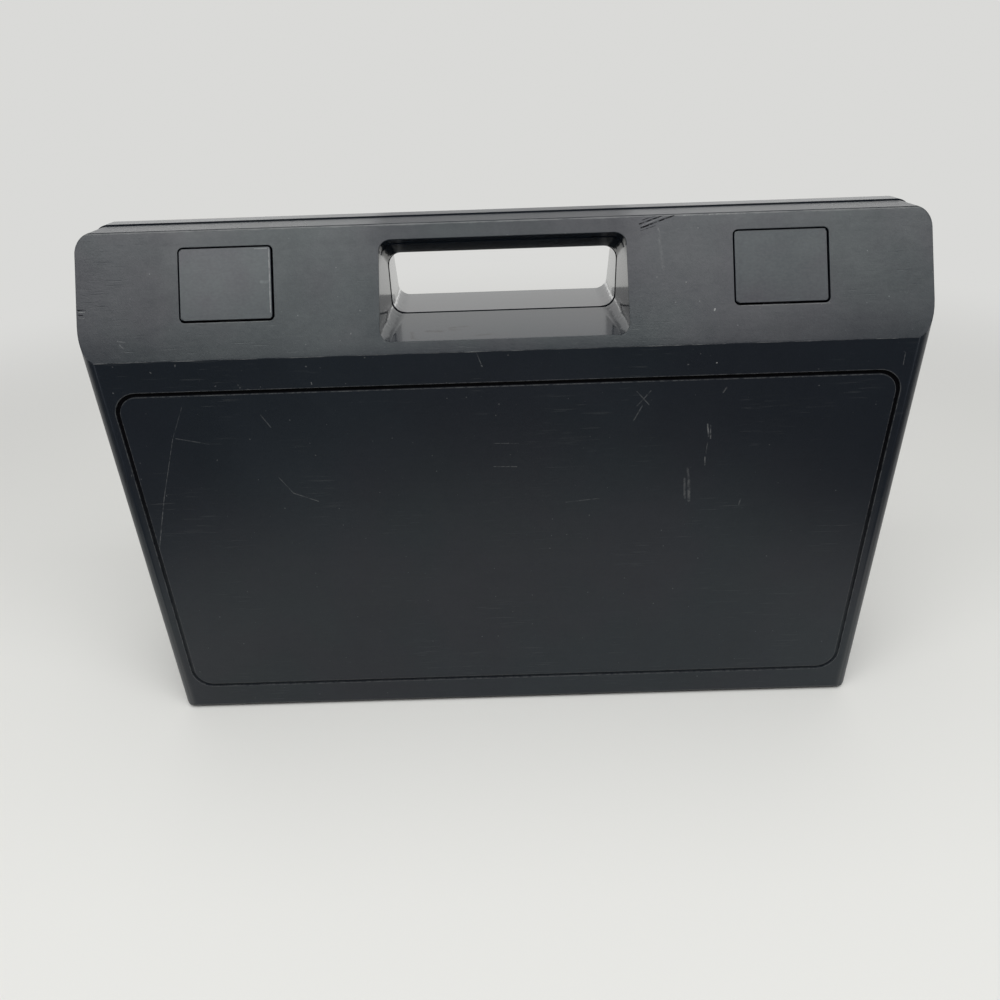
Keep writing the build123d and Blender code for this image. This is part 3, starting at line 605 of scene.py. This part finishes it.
def make_edge_group():
    """Rubbing along an edge that runs left to right, at one distance from the seam and one height."""
    patches_per_metre, bare, full = 60.0, 1.25, 0.30
    group, given, end = new_group("Edge rub", ["Place"], ["Depth", "Height", "Reach", "Amount"], ["Mask"])
    at = split(group, given["Place"])
    back = calc(group, "SUBTRACT", calc(group, "ABSOLUTE", at["Y"]), given["Depth"])
    rise = calc(group, "SUBTRACT", at["Z"], given["Height"])
    gap = calc(group, "SQRT", calc(group, "ADD", product(group, back, back), product(group, rise, rise)))
    near = calc(group, "SUBTRACT", 1.0, calc(group, "DIVIDE", gap, given["Reach"]), clamp=True)
    patches = noise(group, given["Place"], patches_per_metre, detail=5.0, roughness=0.7)
    rubbed = calc(group, "ADD", near, calc(group, "SUBTRACT", patches, bare))
    mask = ramp(group, calc(group, "ADD", rubbed, given["Amount"]), 0.0, full)
    group.links.new(calc(group, "MULTIPLY", mask, near), end.inputs["Mask"])


def speck_mask(tree, flat, per_metre, share):
    """Specks on the piece's own map."""
    return use_group(tree, "Dust specks", Place=flat, Specks_per_metre=per_metre, Share=share)["Mask"]


def edge_rub(tree, place, depth, height, reach, amount, share):
    """Rubbing of one long edge, cut to a share."""
    rub = use_group(tree, "Edge rub", Place=place, Depth=depth, Height=height, Reach=reach, Amount=amount)
    return calc(tree, "MULTIPLY", rub["Mask"], share)


def marks_mask(tree, place, marks, to_point, broken):
    """Strongest of a list of straight marks, joined one by one, as the renderer holds few at a time."""
    masks = (
        use_group(
            tree, "Straight mark", Place=place, Start=to_point(*start), End=to_point(*finish),
            Width=width * MM, Broken=broken, Strength=strength,
        )["Mask"]
        for start, finish, width, strength in marks
    )
    return chain(tree, "MAXIMUM", masks)


# ---- Materials
def new_material(name):
    """Material with a bare Principled shader: its tree, its shader and the place on the object."""
    material = bpy.data.materials.new(name)
    material.use_nodes = True
    tree = material.node_tree
    shader = tree.nodes["Principled BSDF"]
    place = tree.nodes.new("ShaderNodeTexCoord").outputs["Object"]
    return material, tree, shader, place


def flat_place(tree):
    """Place on the piece's own map, on which each face is laid flat."""
    return add_node(tree, "ShaderNodeUVMap", uv_map="flat").outputs["UV"]


def add_grain(tree, shader, height, depth, strength=1.0):
    """Bump from a height between 0 and 1 and a real depth."""
    bump = add_node(tree, "ShaderNodeBump", {"Height": height, "Distance": depth, "Strength": strength})
    tree.links.new(bump.outputs["Normal"], shader.inputs["Normal"])


def add_tint(tree, shader, place, patches, detail, spread, tints):
    """Two tints of the mirrored light, in patches."""
    cast = ramp(tree, noise(tree, place, patches, detail=detail), 0.5 - spread, 0.5 + spread)
    tint = blend_colour(tree, cast, *(opaque(tint) for tint in tints))
    tree.links.new(tint, shader.inputs["Specular Tint"])


def break_up(tree, place, least):
    """What is left of a scratch from place to place, from a least share to all of it."""
    return ramp(tree, noise(tree, place, 420.0, detail=3.0, roughness=0.7), 0.34, 0.62, least, 1.0)


def well_mask(tree, place):
    """1 on the walls of the handle hole, behind the band, and 0 elsewhere."""
    at = split(tree, place)
    inside = calc(tree, "LESS_THAN", calc(tree, "ABSOLUTE", at["X"]), WELL_HALF_WIDTH)
    for test, level in (("GREATER_THAN", WELL_LOW), ("LESS_THAN", WELL_HIGH)):
        inside = product(tree, inside, calc(tree, test, at["Z"], level))
    outward = calc(tree, "SUBTRACT", HALF_DEPTH, calc(tree, "ABSOLUTE", at["Y"]))
    above = calc(tree, "SUBTRACT", at["Z"], BAND_LOW)
    depth = calc(
        tree, "SUBTRACT", product(tree, outward, cos(BAND_SLOPE)), product(tree, above, sin(BAND_SLOPE)),
    )
    return product(tree, inside, ramp(tree, depth, 0.2 * MM, 0.7 * MM))


def handled_mask(tree, place):
    """1 on the bridge over the handle hole, which the hand dulls, and 0 elsewhere."""
    at = split(tree, place)
    from_middle = calc(tree, "ABSOLUTE", at["X"])
    across = ramp(tree, from_middle, WELL_HALF_WIDTH + 4 * MM, WELL_HALF_WIDTH - 8 * MM)
    return product(tree, across, ramp(tree, at["Z"], TOP - 12 * MM, TOP - 6 * MM))


def haze_mask(tree, place, most):
    """Grey haze on the shoulder beside the handle hole, in clouds, with a clear border at its left end."""
    at = split(tree, place)
    lean = product(tree, calc(tree, "SUBTRACT", at["Z"], BAND_LOW), HAZE_LEAN)
    across = calc(tree, "SUBTRACT", at["X"], lean)
    span = product(tree, ramp(tree, across, *HAZE_LEFT), ramp(tree, across, *HAZE_RIGHT))
    cloud = ramp(tree, noise(tree, place, 26.0, detail=4.0, roughness=0.6), 0.25, 0.75, 0.45, 1.0)
    from_middle = calc(tree, "ABSOLUTE", at["X"])
    clear = ramp(tree, from_middle, WELL_HALF_WIDTH - 2 * MM, WELL_HALF_WIDTH + 12 * MM)
    up = ramp(tree, at["Z"], BAND_LOW, BAND_LOW + 1 * MM, 0.0, most)
    return product(tree, product(tree, span, clear), product(tree, cloud, up))


def panel_ring(tree, place):
    """Distance from the centre line of the groove round the panel, below 0 on the panel."""
    at = split(tree, place)
    middle, half = (PANEL_HIGH + PANEL_LOW) / 2, (PANEL_HIGH - PANEL_LOW) / 2
    across = calc(tree, "SUBTRACT", calc(tree, "ABSOLUTE", at["X"]), PANEL_SIDE - PANEL_CORNER)
    up = calc(tree, "ABSOLUTE", calc(tree, "SUBTRACT", at["Z"], middle))
    up = calc(tree, "SUBTRACT", up, half - PANEL_CORNER)
    corner = add_node(tree, "ShaderNodeCombineXYZ", {
        "X": calc(tree, "MAXIMUM", across, 0.0), "Y": calc(tree, "MAXIMUM", up, 0.0),
    })
    beside = calc(tree, "MINIMUM", calc(tree, "MAXIMUM", across, up), 0.0)
    reach = calc(tree, "ADD", vector_calc(tree, "LENGTH", corner.outputs["Vector"]), beside)
    return calc(tree, "SUBTRACT", reach, PANEL_CORNER)


def groove_masks(tree, place):
    """Two masks: painted shade in the panel's groove, darker towards the top, and the groove's two edges."""
    at = split(tree, place)
    sunk = calc(tree, "SUBTRACT", HALF_DEPTH, calc(tree, "ABSOLUTE", at["Y"]))
    at_face = calc(tree, "LESS_THAN", sunk, 1.5 * MM)
    from_line = calc(tree, "ABSOLUTE", panel_ring(tree, place))
    ring = ramp(tree, from_line, GROOVE_HALF_WIDTH + 0.2 * MM, GROOVE_HALF_WIDTH - 0.1 * MM)
    ring = product(tree, ring, at_face, ramp(tree, sunk, 0.05 * MM, 0.4 * MM))
    # Painted shade in the groove, darker towards the top
    gouges_and_groove_shade = product(tree, ring, ramp(tree, at["Z"], PANEL_LOW, PANEL_HIGH, 0.10, 1.0))
    from_edge = calc(tree, "ABSOLUTE", calc(tree, "SUBTRACT", from_line, GROOVE_HALF_WIDTH + 0.15 * MM))
    return gouges_and_groove_shade, product(tree, ramp(tree, from_edge, 0.35 * MM, 0.05 * MM), at_face)


def seam_mask(tree, place):
    """1 on the rims where the two shells meet, and 0 elsewhere and round the hinges."""
    at = split(tree, place)
    near = ramp(tree, calc(tree, "ABSOLUTE", at["Y"]), 0.60 * MM, 0.40 * MM)
    return product(tree, near, ramp(tree, at["Z"], 8 * MM, 12 * MM))


def make_shell_plastic(name, shoulder):
    """Satin black plastic with fine grain, rubbed edges, scratches and dust, for the shoulder or the faces.

    Each has only its own marks, as the renderer can't hold the marks of both in one material.
    The faces also get painted shade in the panel's groove and a painted highlight along its edges.
    """
    material, tree, shader, place = new_material(name)
    settings = plastic()
    flat = flat_place(tree)
    grain = use_group(tree, "Moulded grain", Place=place, Grains_per_metre=SHELL_GRAINS)
    hairlines = use_group(tree, "Hairlines", Place=place)["Mask"]
    broken = break_up(tree, place, 0.15)
    at = split(tree, place)

    if shoulder:
        well = well_mask(tree, place)
        marks = strongest(
            tree, marks_mask(tree, place, BAND_MARKS, band_point, broken),
            marks_mask(tree, place, TOP_SCUFFS, top_point, broken),
        )
        gouges_and_groove_shade = marks_mask(tree, place, BAND_GOUGES, band_point, broken)
        smears = marks_mask(tree, place, SHELF_SMEARS, shelf_point, broken)
        rubs_and_highlights = edge_rub(tree, place, TOP_HALF_DEPTH, TOP_RUB, 1.6 * MM, 0.10, 0.55)
    else:
        well = 0.0
        marks = marks_mask(tree, place, PANEL_MARKS, panel_point, broken)
        # On the faces: painted shade in the panel's groove, darker towards the top, and the groove's edges
        # for a painted highlight
        gouges_and_groove_shade, groove_edge_highlight = groove_masks(tree, place)
        rubs_and_highlights = product(tree, groove_edge_highlight, broken, 0.24)
    rubs_and_highlights = strongest(tree, rubs_and_highlights, edge_rub(tree, place, HALF_DEPTH, BAND_LOW, 0.8 * MM, -0.05, 0.55))
    outside = calc(tree, "SUBTRACT", 1.0, well)

    dust = strongest(tree, *(speck_mask(tree, flat, *specks) for specks in SHELL_DUST))
    # Scratches, dust, rubbing and hairlines, and on the faces the painted highlight along the groove's edges
    wear_and_highlights = strongest(
        tree, product(tree, marks, settings.scratches), product(tree, dust, settings.dust),
        rubs_and_highlights, product(tree, hairlines, outside, 0.05),
    )
    shade = blend_colour(
        tree, grain["Unevenness"], opaque(settings.shell_colour), opaque(settings.shell_colour, 1.25),
    )
    if shoulder:
        haze = haze_mask(tree, place, settings.haze)
        shade = blend_colour(tree, haze, shade, opaque(settings.worn_and_highlight_colour))
    # Rubbed colour on the wear, and on the faces on the painted highlight along the groove's edges
    shade = blend_colour(tree, wear_and_highlights, shade, opaque(settings.worn_and_highlight_colour))
    if shoulder:
        shade = blend_colour(tree, smears, shade, opaque(SMEAR_COLOUR))
    # Painted shade in the groove on the faces, and the dark gouges on the shoulder
    shade = blend_colour(tree, gouges_and_groove_shade, shade, opaque(GOUGE_AND_GROOVE_SHADE_COLOUR))
    tree.links.new(shade, shader.inputs["Base Color"])

    patches = noise(tree, place, SHELL_PATCHES, detail=5.0, roughness=0.65)
    uneven = swing(tree, patches, SHELL_PATCH_SHARE)
    for per_metre, along, share in SHELL_SPECKLE:
        speckle = noise(tree, stretch(tree, place, (along, 1.0, 1.0)), per_metre)
        uneven = calc(tree, "ADD", uneven, swing(tree, speckle, share))
    band = ramp(tree, at["Z"], BAND_LOW - 1 * MM, BAND_LOW + 1 * MM)
    uneven = product(tree, uneven, ramp(tree, band, 0.0, 1.0, FACE_UNEVENNESS, 1.0))
    gloss = calc(tree, "ADD", 1.0, product(tree, uneven, outside))
    gloss = product(tree, gloss, ramp(tree, band, 0.0, 1.0, settings.face_gloss, 1.0))
    sheen = calc(tree, "ADD", settings.roughness, product(tree, grain["Unevenness"], 0.05))
    sheen = calc(tree, "ADD", sheen, product(tree, wear_and_highlights, 0.25))
    if shoulder:
        flat_top = ramp(tree, at["Z"], TOP - 0.5 * MM, TOP - 0.1 * MM)
        lift = ramp(tree, at["Y"], -TOP_LIFT_TURNS, TOP_LIFT_TURNS, FRONT_TOP_LIFT, BACK_TOP_LIFT)
        gloss = calc(tree, "ADD", gloss, product(tree, flat_top, lift))
        roof = product(tree, well, ramp(tree, at["Z"], TOP - 17 * MM, TOP - 12 * MM))
        gloss = less(tree, less(tree, gloss, roof, ROOF_LOSS), smears, SMEAR_LOSS)
        sheen = calc(tree, "ADD", sheen, product(tree, handled_mask(tree, place), settings.handled))
        sheen = calc(tree, "SUBTRACT", sheen, product(tree, flat_top, settings.smoothed_top))
        polished = calc(tree, "ADD", settings.polish, product(tree, smears, 0.15))
        sheen = calc(tree, "ADD", product(tree, sheen, outside), product(tree, polished, well))
    gloss = less(tree, less(tree, gloss, gouges_and_groove_shade, GOUGE_AND_GROOVE_SHADE_LOSS), seam_mask(tree, place), SEAM_LOSS)
    tree.links.new(product(tree, gloss, PLAIN_GLOSS), shader.inputs["Specular IOR Level"])
    tree.links.new(sheen, shader.inputs["Roughness"])
    add_tint(tree, shader, place, 16.0, 3.0, 0.14, SHELL_TINTS)

    height = calc(tree, "SUBTRACT", grain["Height"], hairlines)
    if shoulder:
        height = calc(tree, "SUBTRACT", height, product(tree, gouges_and_groove_shade, GOUGE_DEPTH))
    strength = calc(tree, "ADD", product(tree, outside, FACE_GRAIN - WELL_GRAIN), WELL_GRAIN)
    add_grain(tree, shader, height, settings.grain_depth, strength)
    return material


def make_latch_plastic():
    """Smoother black plastic with a soft unevenness, painted highlights along the left button's right and
    upper edge, and a few specks.
    """
    material, tree, shader, place = new_material("latch_plastic")
    settings = plastic()
    flat = flat_place(tree)
    grain = use_group(tree, "Moulded grain", Place=place, Grains_per_metre=LATCH_GRAINS)
    dust = speck_mask(tree, flat, *LATCH_DUST)
    hairlines = use_group(tree, "Hairlines", Place=place)["Mask"]
    # Painted highlights along the left button's right and upper edge, with one faint mark
    marks = marks_mask(tree, place, BUTTON_MARKS_AND_HIGHLIGHTS, band_point, break_up(tree, place, 0.4))
    wear_and_highlights = strongest(tree, product(tree, marks, settings.scratches), product(tree, dust, 0.3))
    wear_and_highlights = strongest(tree, wear_and_highlights, product(tree, hairlines, 0.04))
    shade = blend_colour(
        tree, grain["Unevenness"], opaque(settings.latch_colour), opaque(settings.latch_colour, 1.2),
    )
    # Rubbed colour on the wear and on the painted highlights of the left button
    shade = blend_colour(tree, wear_and_highlights, shade, opaque(settings.worn_and_highlight_colour))
    tree.links.new(shade, shader.inputs["Base Color"])
    smudges = swing(tree, noise(tree, place, 60.0, detail=4.0, roughness=0.6), 0.20)
    fine = swing(tree, noise(tree, stretch(tree, place, (0.7, 1.0, 1.0)), 1000.0, detail=3.0), 0.22)
    uneven = calc(tree, "ADD", smudges, fine)
    used = ramp(tree, split(tree, place)["X"], -80 * MM, 80 * MM, *LATCH_USE)
    gloss = chain(tree, "ADD", (settings.latch_gloss, used, uneven))
    tree.links.new(gloss, shader.inputs["Specular IOR Level"])
    add_tint(tree, shader, place, 30.0, 2.0, 0.15, LATCH_TINTS)
    sheen = calc(tree, "ADD", settings.roughness - 0.03, product(tree, grain["Unevenness"], 0.06))
    tree.links.new(sheen, shader.inputs["Roughness"])
    add_grain(tree, shader, grain["Height"], settings.grain_depth * 0.45)
    return material


def make_rack_plastic():
    """Plain satin black plastic, brushed by the cassette boxes."""
    material, tree, shader, place = new_material("rack_plastic")
    grain = use_group(tree, "Moulded grain", Place=place, Grains_per_metre=RACK_GRAINS)
    settings = plastic()
    lines = noise(tree, stretch(tree, place, (1.0, 0.06, 1.0)), RACK_STREAKS, detail=3.0)
    streaks = product(tree, ramp(tree, lines, 0.60, 0.78), 0.10)
    shade = blend_colour(tree, streaks, opaque(settings.rack_colour), opaque(settings.worn_and_highlight_colour))
    tree.links.new(shade, shader.inputs["Base Color"])
    tree.links.new(ramp(tree, grain["Unevenness"], 0.0, 1.0, 0.32, 0.42), shader.inputs["Roughness"])
    add_grain(tree, shader, grain["Height"], settings.grain_depth * 0.4)
    return material


def make_steel(name, colour, roughness, lay):
    """Drawn or rolled steel with fine lines along one direction."""
    material, tree, shader, place = new_material(name)
    lines = noise(tree, stretch(tree, place, lay), STEEL_LINES, detail=4.0)
    stain = ramp(tree, noise(tree, place, STEEL_STAINS, detail=4.0), 0.45, 0.75)
    shade = blend_colour(tree, stain, opaque(colour), opaque(colour, 0.62))
    tree.links.new(shade, shader.inputs["Base Color"])
    sheen = ramp(tree, lines, 0.2, 0.8, roughness - 0.06, roughness + 0.08)
    tree.links.new(sheen, shader.inputs["Roughness"])
    shader.inputs["Metallic"].default_value = 1.0
    add_grain(tree, shader, lines, 0.004 * MM)
    return material


# ---- Pieces
def place_object(name, data):
    """Object at the origin of the scene."""
    made = bpy.data.objects.new(name, data)
    bpy.context.scene.collection.objects.link(made)
    return made


def lay_flat(shape):
    """UV map in metres: each face laid flat along the axis that it faces most."""
    layer = shape.loops.layers.uv.new("flat")
    for face in shape.faces:
        facing = max(range(3), key=lambda axis: abs(face.normal[axis]))
        across, up = ((1, 2), (0, 2), (0, 1))[facing]
        for corner in face.loops:
            corner[layer].uv = (corner.vert.co[across], corner.vert.co[up])


def fit_in_window(shape, low):
    """Set a button's left and upper rim nearer to its window, where the moulded pair stands closest."""
    left = low.x + BUTTON_RIM
    top = max(band_way(vert.co) for vert in shape.verts if band_depth(vert.co) < BUTTON_FACE) - BUTTON_RIM
    up = Vector((0.0, sin(BAND_SLOPE), cos(BAND_SLOPE)))
    for vert in shape.verts:
        if vert.co.x < left:
            vert.co.x -= BUTTON_SET
        if band_depth(vert.co) < BUTTON_RIM_DEPTH and band_way(vert.co) > top:
            vert.co += up * BUTTON_SET


def soften(node, form, body, slot, edge, sharpest, *materials):
    """A node's form with its sharp edges rounded: stands for the node and rides on its body.

    Where it has two materials, the second is for what lies above the foot of the shoulder.
    """
    name = f"{node}_{form}"
    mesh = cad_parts[node].data.copy()
    mesh.name = name
    mesh.materials.clear()
    shape = bmesh.new()
    shape.from_mesh(mesh)
    bmesh.ops.remove_doubles(shape, verts=shape.verts, dist=MERGE_WITHIN)
    bmesh.ops.dissolve_limit(
        shape, angle_limit=FLAT_WITHIN, verts=shape.verts, edges=shape.edges, use_dissolve_boundaries=False,
    )
    if node.endswith("latch_button"):
        fit_in_window(shape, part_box(node)[0])
    sharp = [border for border in shape.edges if border.is_manifold and border.calc_face_angle() > sharpest]
    bmesh.ops.bevel(
        shape, geom=sharp, offset=edge, offset_type="OFFSET", segments=edges().segments, profile=0.5,
        affect="EDGES", clamp_overlap=False, material=-1,
    )
    bmesh.ops.triangulate(shape, faces=[face for face in shape.faces if len(face.verts) > 4])
    lay_flat(shape)
    for face in shape.faces:
        face.smooth = True
        face.material_index = int(len(materials) > 1 and face.calc_center_median().z > BAND_LOW)
    for border in shape.edges:
        border.smooth = not (border.is_manifold and border.calc_face_angle() > CREASE)
    shape.to_mesh(mesh)
    shape.free()
    for material in materials:
        mesh.materials.append(material)
    piece = place_object(name, mesh)
    shading = piece.modifiers.new("flat faces stay flat", "WEIGHTED_NORMAL")
    shading.weight = FACE_WEIGHT
    shading.keep_sharp = True
    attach(piece, body)
    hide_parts(node)


class CASE_OT_shells(bpy.types.Operator):
    """Round the edges of both half shells and give them worn satin plastic"""
    bl_idname = "cassette_case.shells"
    bl_label = "Half Shells"

    def execute(self, context):
        faces = make_shell_plastic("shell_plastic", False)
        shoulder = make_shell_plastic("shoulder_plastic", True)
        for side, body in (("front", "lid"), ("back", "base")):
            soften(
                f"{side}_shell", "moulding", body, "shell_plastic",
                edges().shell, SHELL_SHARP, faces, shoulder,
            )
        return {"FINISHED"}


class CASE_OT_latches(bpy.types.Operator):
    """Round the edges of the latch buttons and keepers and give them smoother plastic"""
    bl_idname = "cassette_case.latches"
    bl_label = "Latch Buttons and Keepers"

    def execute(self, context):
        material = make_latch_plastic()
        for side in ("left", "right"):
            for part, body in (("latch_button", f"{side}_latch"), ("latch_keeper", "base")):
                soften(
                    f"{side}_{part}", "moulding", body, "latch_plastic",
                    edges().latch, MOULDING_SHARP, material,
                )
        return {"FINISHED"}


class CASE_OT_racks(bpy.types.Operator):
    """Round the edges of the three cassette racks and give them their plastic"""
    bl_idname = "cassette_case.racks"
    bl_label = "Cassette Racks"

    def execute(self, context):
        material = make_rack_plastic()
        for place in ("left", "middle", "right"):
            soften(
                f"{place}_rack", "moulding", "base", "rack_plastic",
                edges().rack, MOULDING_SHARP, material,
            )
        return {"FINISHED"}


class CASE_OT_steel(bpy.types.Operator):
    """Round the ends of the pins and the edges of the leaf springs and give them steel"""
    bl_idname = "cassette_case.steel"
    bl_label = "Pins and Springs"

    def execute(self, context):
        wire = make_steel("pin_steel", PIN_STEEL, PIN_ROUGHNESS, (0.04, 1.0, 1.0))
        strip = make_steel("spring_steel", SPRING_STEEL, SPRING_ROUGHNESS, (1.0, 0.1, 0.1))
        edge = edges().steel
        for place in ("left", "middle", "right"):
            soften(f"{place}_hinge_pin", "wire", "base", "pin_steel", edge, STEEL_SHARP, wire)
        for side in ("left", "right"):
            soften(f"{side}_latch_pin", "wire", "lid", "pin_steel", edge, STEEL_SHARP, wire)
            soften(f"{side}_latch_spring", "strip", "lid", "spring_steel", edge / 2, STEEL_SHARP, strip)
        return {"FINISHED"}


# ---- Studio
def mix_shaders(tree, share, first, second, output):
    """Lead a mix of two shaders to a tree's output node."""
    mixed = add_node(tree, "ShaderNodeMixShader", {0: share, 1: first, 2: second})
    tree.links.new(mixed.outputs[0], tree.nodes[output].inputs["Surface"])


def make_floor():
    """Plain pale floor: the backdrop's colour far from the case, and dim where its front mirrors it."""
    settings = studio()
    shape = bmesh.new()
    bmesh.ops.create_circle(shape, cap_ends=True, segments=FLOOR_SIDES, radius=settings.floor_size)
    mesh = bpy.data.meshes.new("studio_floor")
    shape.to_mesh(mesh)
    shape.free()
    floor = place_object("studio_floor", mesh)
    material, tree, shader, place = new_material("studio_floor")
    shader.inputs["Base Color"].default_value = opaque(settings.floor_colour)
    shader.inputs["Roughness"].default_value = FLOOR_ROUGHNESS
    path = tree.nodes.new("ShaderNodeLightPath").outputs
    away = vector_calc(tree, "LENGTH", place)
    far = ramp(tree, away, *FLOOR_FADE)
    in_front = product(tree, ramp(tree, split(tree, place)["Y"], *DIM_FRONT), ramp(tree, away, *DIM_AWAY))
    mirrored = product(tree, in_front, path["Is Glossy Ray"])
    shown = strongest(tree, path["Is Camera Ray"], path["Is Glossy Ray"])
    lift = product(tree, path["Is Glossy Ray"], settings.mirror_lift)
    dim = opaque((settings.front_shade,) * 3)
    backdrop = add_node(tree, "ShaderNodeEmission", {
        "Color": blend_colour(tree, mirrored, opaque(settings.backdrop_colour), dim),
        "Strength": calc(tree, "ADD", 1.0, lift),
    })
    share = strongest(tree, product(tree, far, shown), mirrored)
    mix_shaders(tree, share, shader.outputs[0], backdrop.outputs[0], "Material Output")
    mesh.materials.append(material)


def make_lamp(name, place, target, size, power):
    """Soft rectangular lamp that faces a point and isn't seen itself."""
    data = bpy.data.lights.new(name, "AREA")
    data.shape = "RECTANGLE"
    data.size, data.size_y = size
    data.energy = power
    lamp = place_object(name, data)
    lamp.visible_camera = False
    lamp.location = place
    lamp.rotation_euler = (Vector(target) - Vector(place)).to_track_quat("-Z", "Y").to_euler()


def make_world():
    """Pale backdrop where it is seen, and a weaker even light elsewhere."""
    world = bpy.data.worlds.new("studio")
    world.use_nodes = True
    tree = world.node_tree
    colour = opaque(studio().backdrop_colour)
    backdrop = tree.nodes["Background"]
    backdrop.inputs["Color"].default_value = colour
    even = add_node(tree, "ShaderNodeBackground", {"Color": colour, "Strength": studio().ambient})
    seen = tree.nodes.new("ShaderNodeLightPath").outputs["Is Camera Ray"]
    mix_shaders(tree, seen, even.outputs[0], backdrop.outputs[0], "World Output")
    bpy.context.scene.world = world


def make_camera():
    """Camera that stands in front, above the case, and leans slightly."""
    settings = studio()
    data = bpy.data.cameras.new("camera")
    data.sensor_width = SENSOR_WIDTH
    data.lens = settings.lens
    data.clip_start = NEAREST_SEEN
    camera = place_object("camera", data)
    turned = (
        Matrix.Rotation(-settings.camera_turn, 4, "Z")
        @ Matrix.Rotation(pi / 2 - settings.camera_pitch, 4, "X")
        @ Matrix.Rotation(-settings.camera_roll, 4, "Z")
    )
    camera.matrix_world = Matrix.Translation(settings.camera_place) @ turned
    bpy.context.scene.camera = camera


class CASE_OT_studio(bpy.types.Operator):
    """Set up the floor, the lamps, the world and the camera"""
    bl_idname = "cassette_case.studio"
    bl_label = "Studio"

    def execute(self, context):
        make_floor()
        middle = (0.0, 0.0, TOP / 2)
        for name, place, size, power in LAMPS:
            make_lamp(name, place, middle, size, getattr(studio(), power))
        make_world()
        make_camera()
        bpy.context.scene.view_settings.view_transform = "Standard"
        return {"FINISHED"}


STEPS = (CASE_OT_shells, CASE_OT_latches, CASE_OT_racks, CASE_OT_steel, CASE_OT_studio)
SETTINGS = {"case_plastic": PlasticSettings, "case_edges": EdgeSettings, "case_studio": StudioSettings}


class CASE_PT_panel(bpy.types.Panel):
    """Steps and settings of the case"""
    bl_label = "Cassette Case"
    bl_idname = "CASE_PT_panel"
    bl_space_type = "VIEW_3D"
    bl_region_type = "UI"
    bl_category = "Cassette Case"

    def draw(self, context):
        for step in STEPS:
            self.layout.operator(step.bl_idname)
        for name, group in SETTINGS.items():
            box = self.layout.box()
            for setting in group.__annotations__:
                box.prop(getattr(context.scene, name), setting)


CLASSES = (*SETTINGS.values(), *STEPS, CASE_PT_panel)


def register():
    for kind in CLASSES:
        bpy.utils.register_class(kind)
    for name, group in SETTINGS.items():
        setattr(bpy.types.Scene, name, PointerProperty(type=group))


def unregister():
    for name in SETTINGS:
        delattr(bpy.types.Scene, name)
    for kind in reversed(CLASSES):
        bpy.utils.unregister_class(kind)


def main():
    register()
    make_grain_group()
    make_mark_group()
    make_speck_group()
    make_hairline_group()
    make_edge_group()
    bpy.ops.cassette_case.shells()
    bpy.ops.cassette_case.latches()
    bpy.ops.cassette_case.racks()
    bpy.ops.cassette_case.steel()
    bpy.ops.cassette_case.studio()


if __name__ == "__main__":
    main()
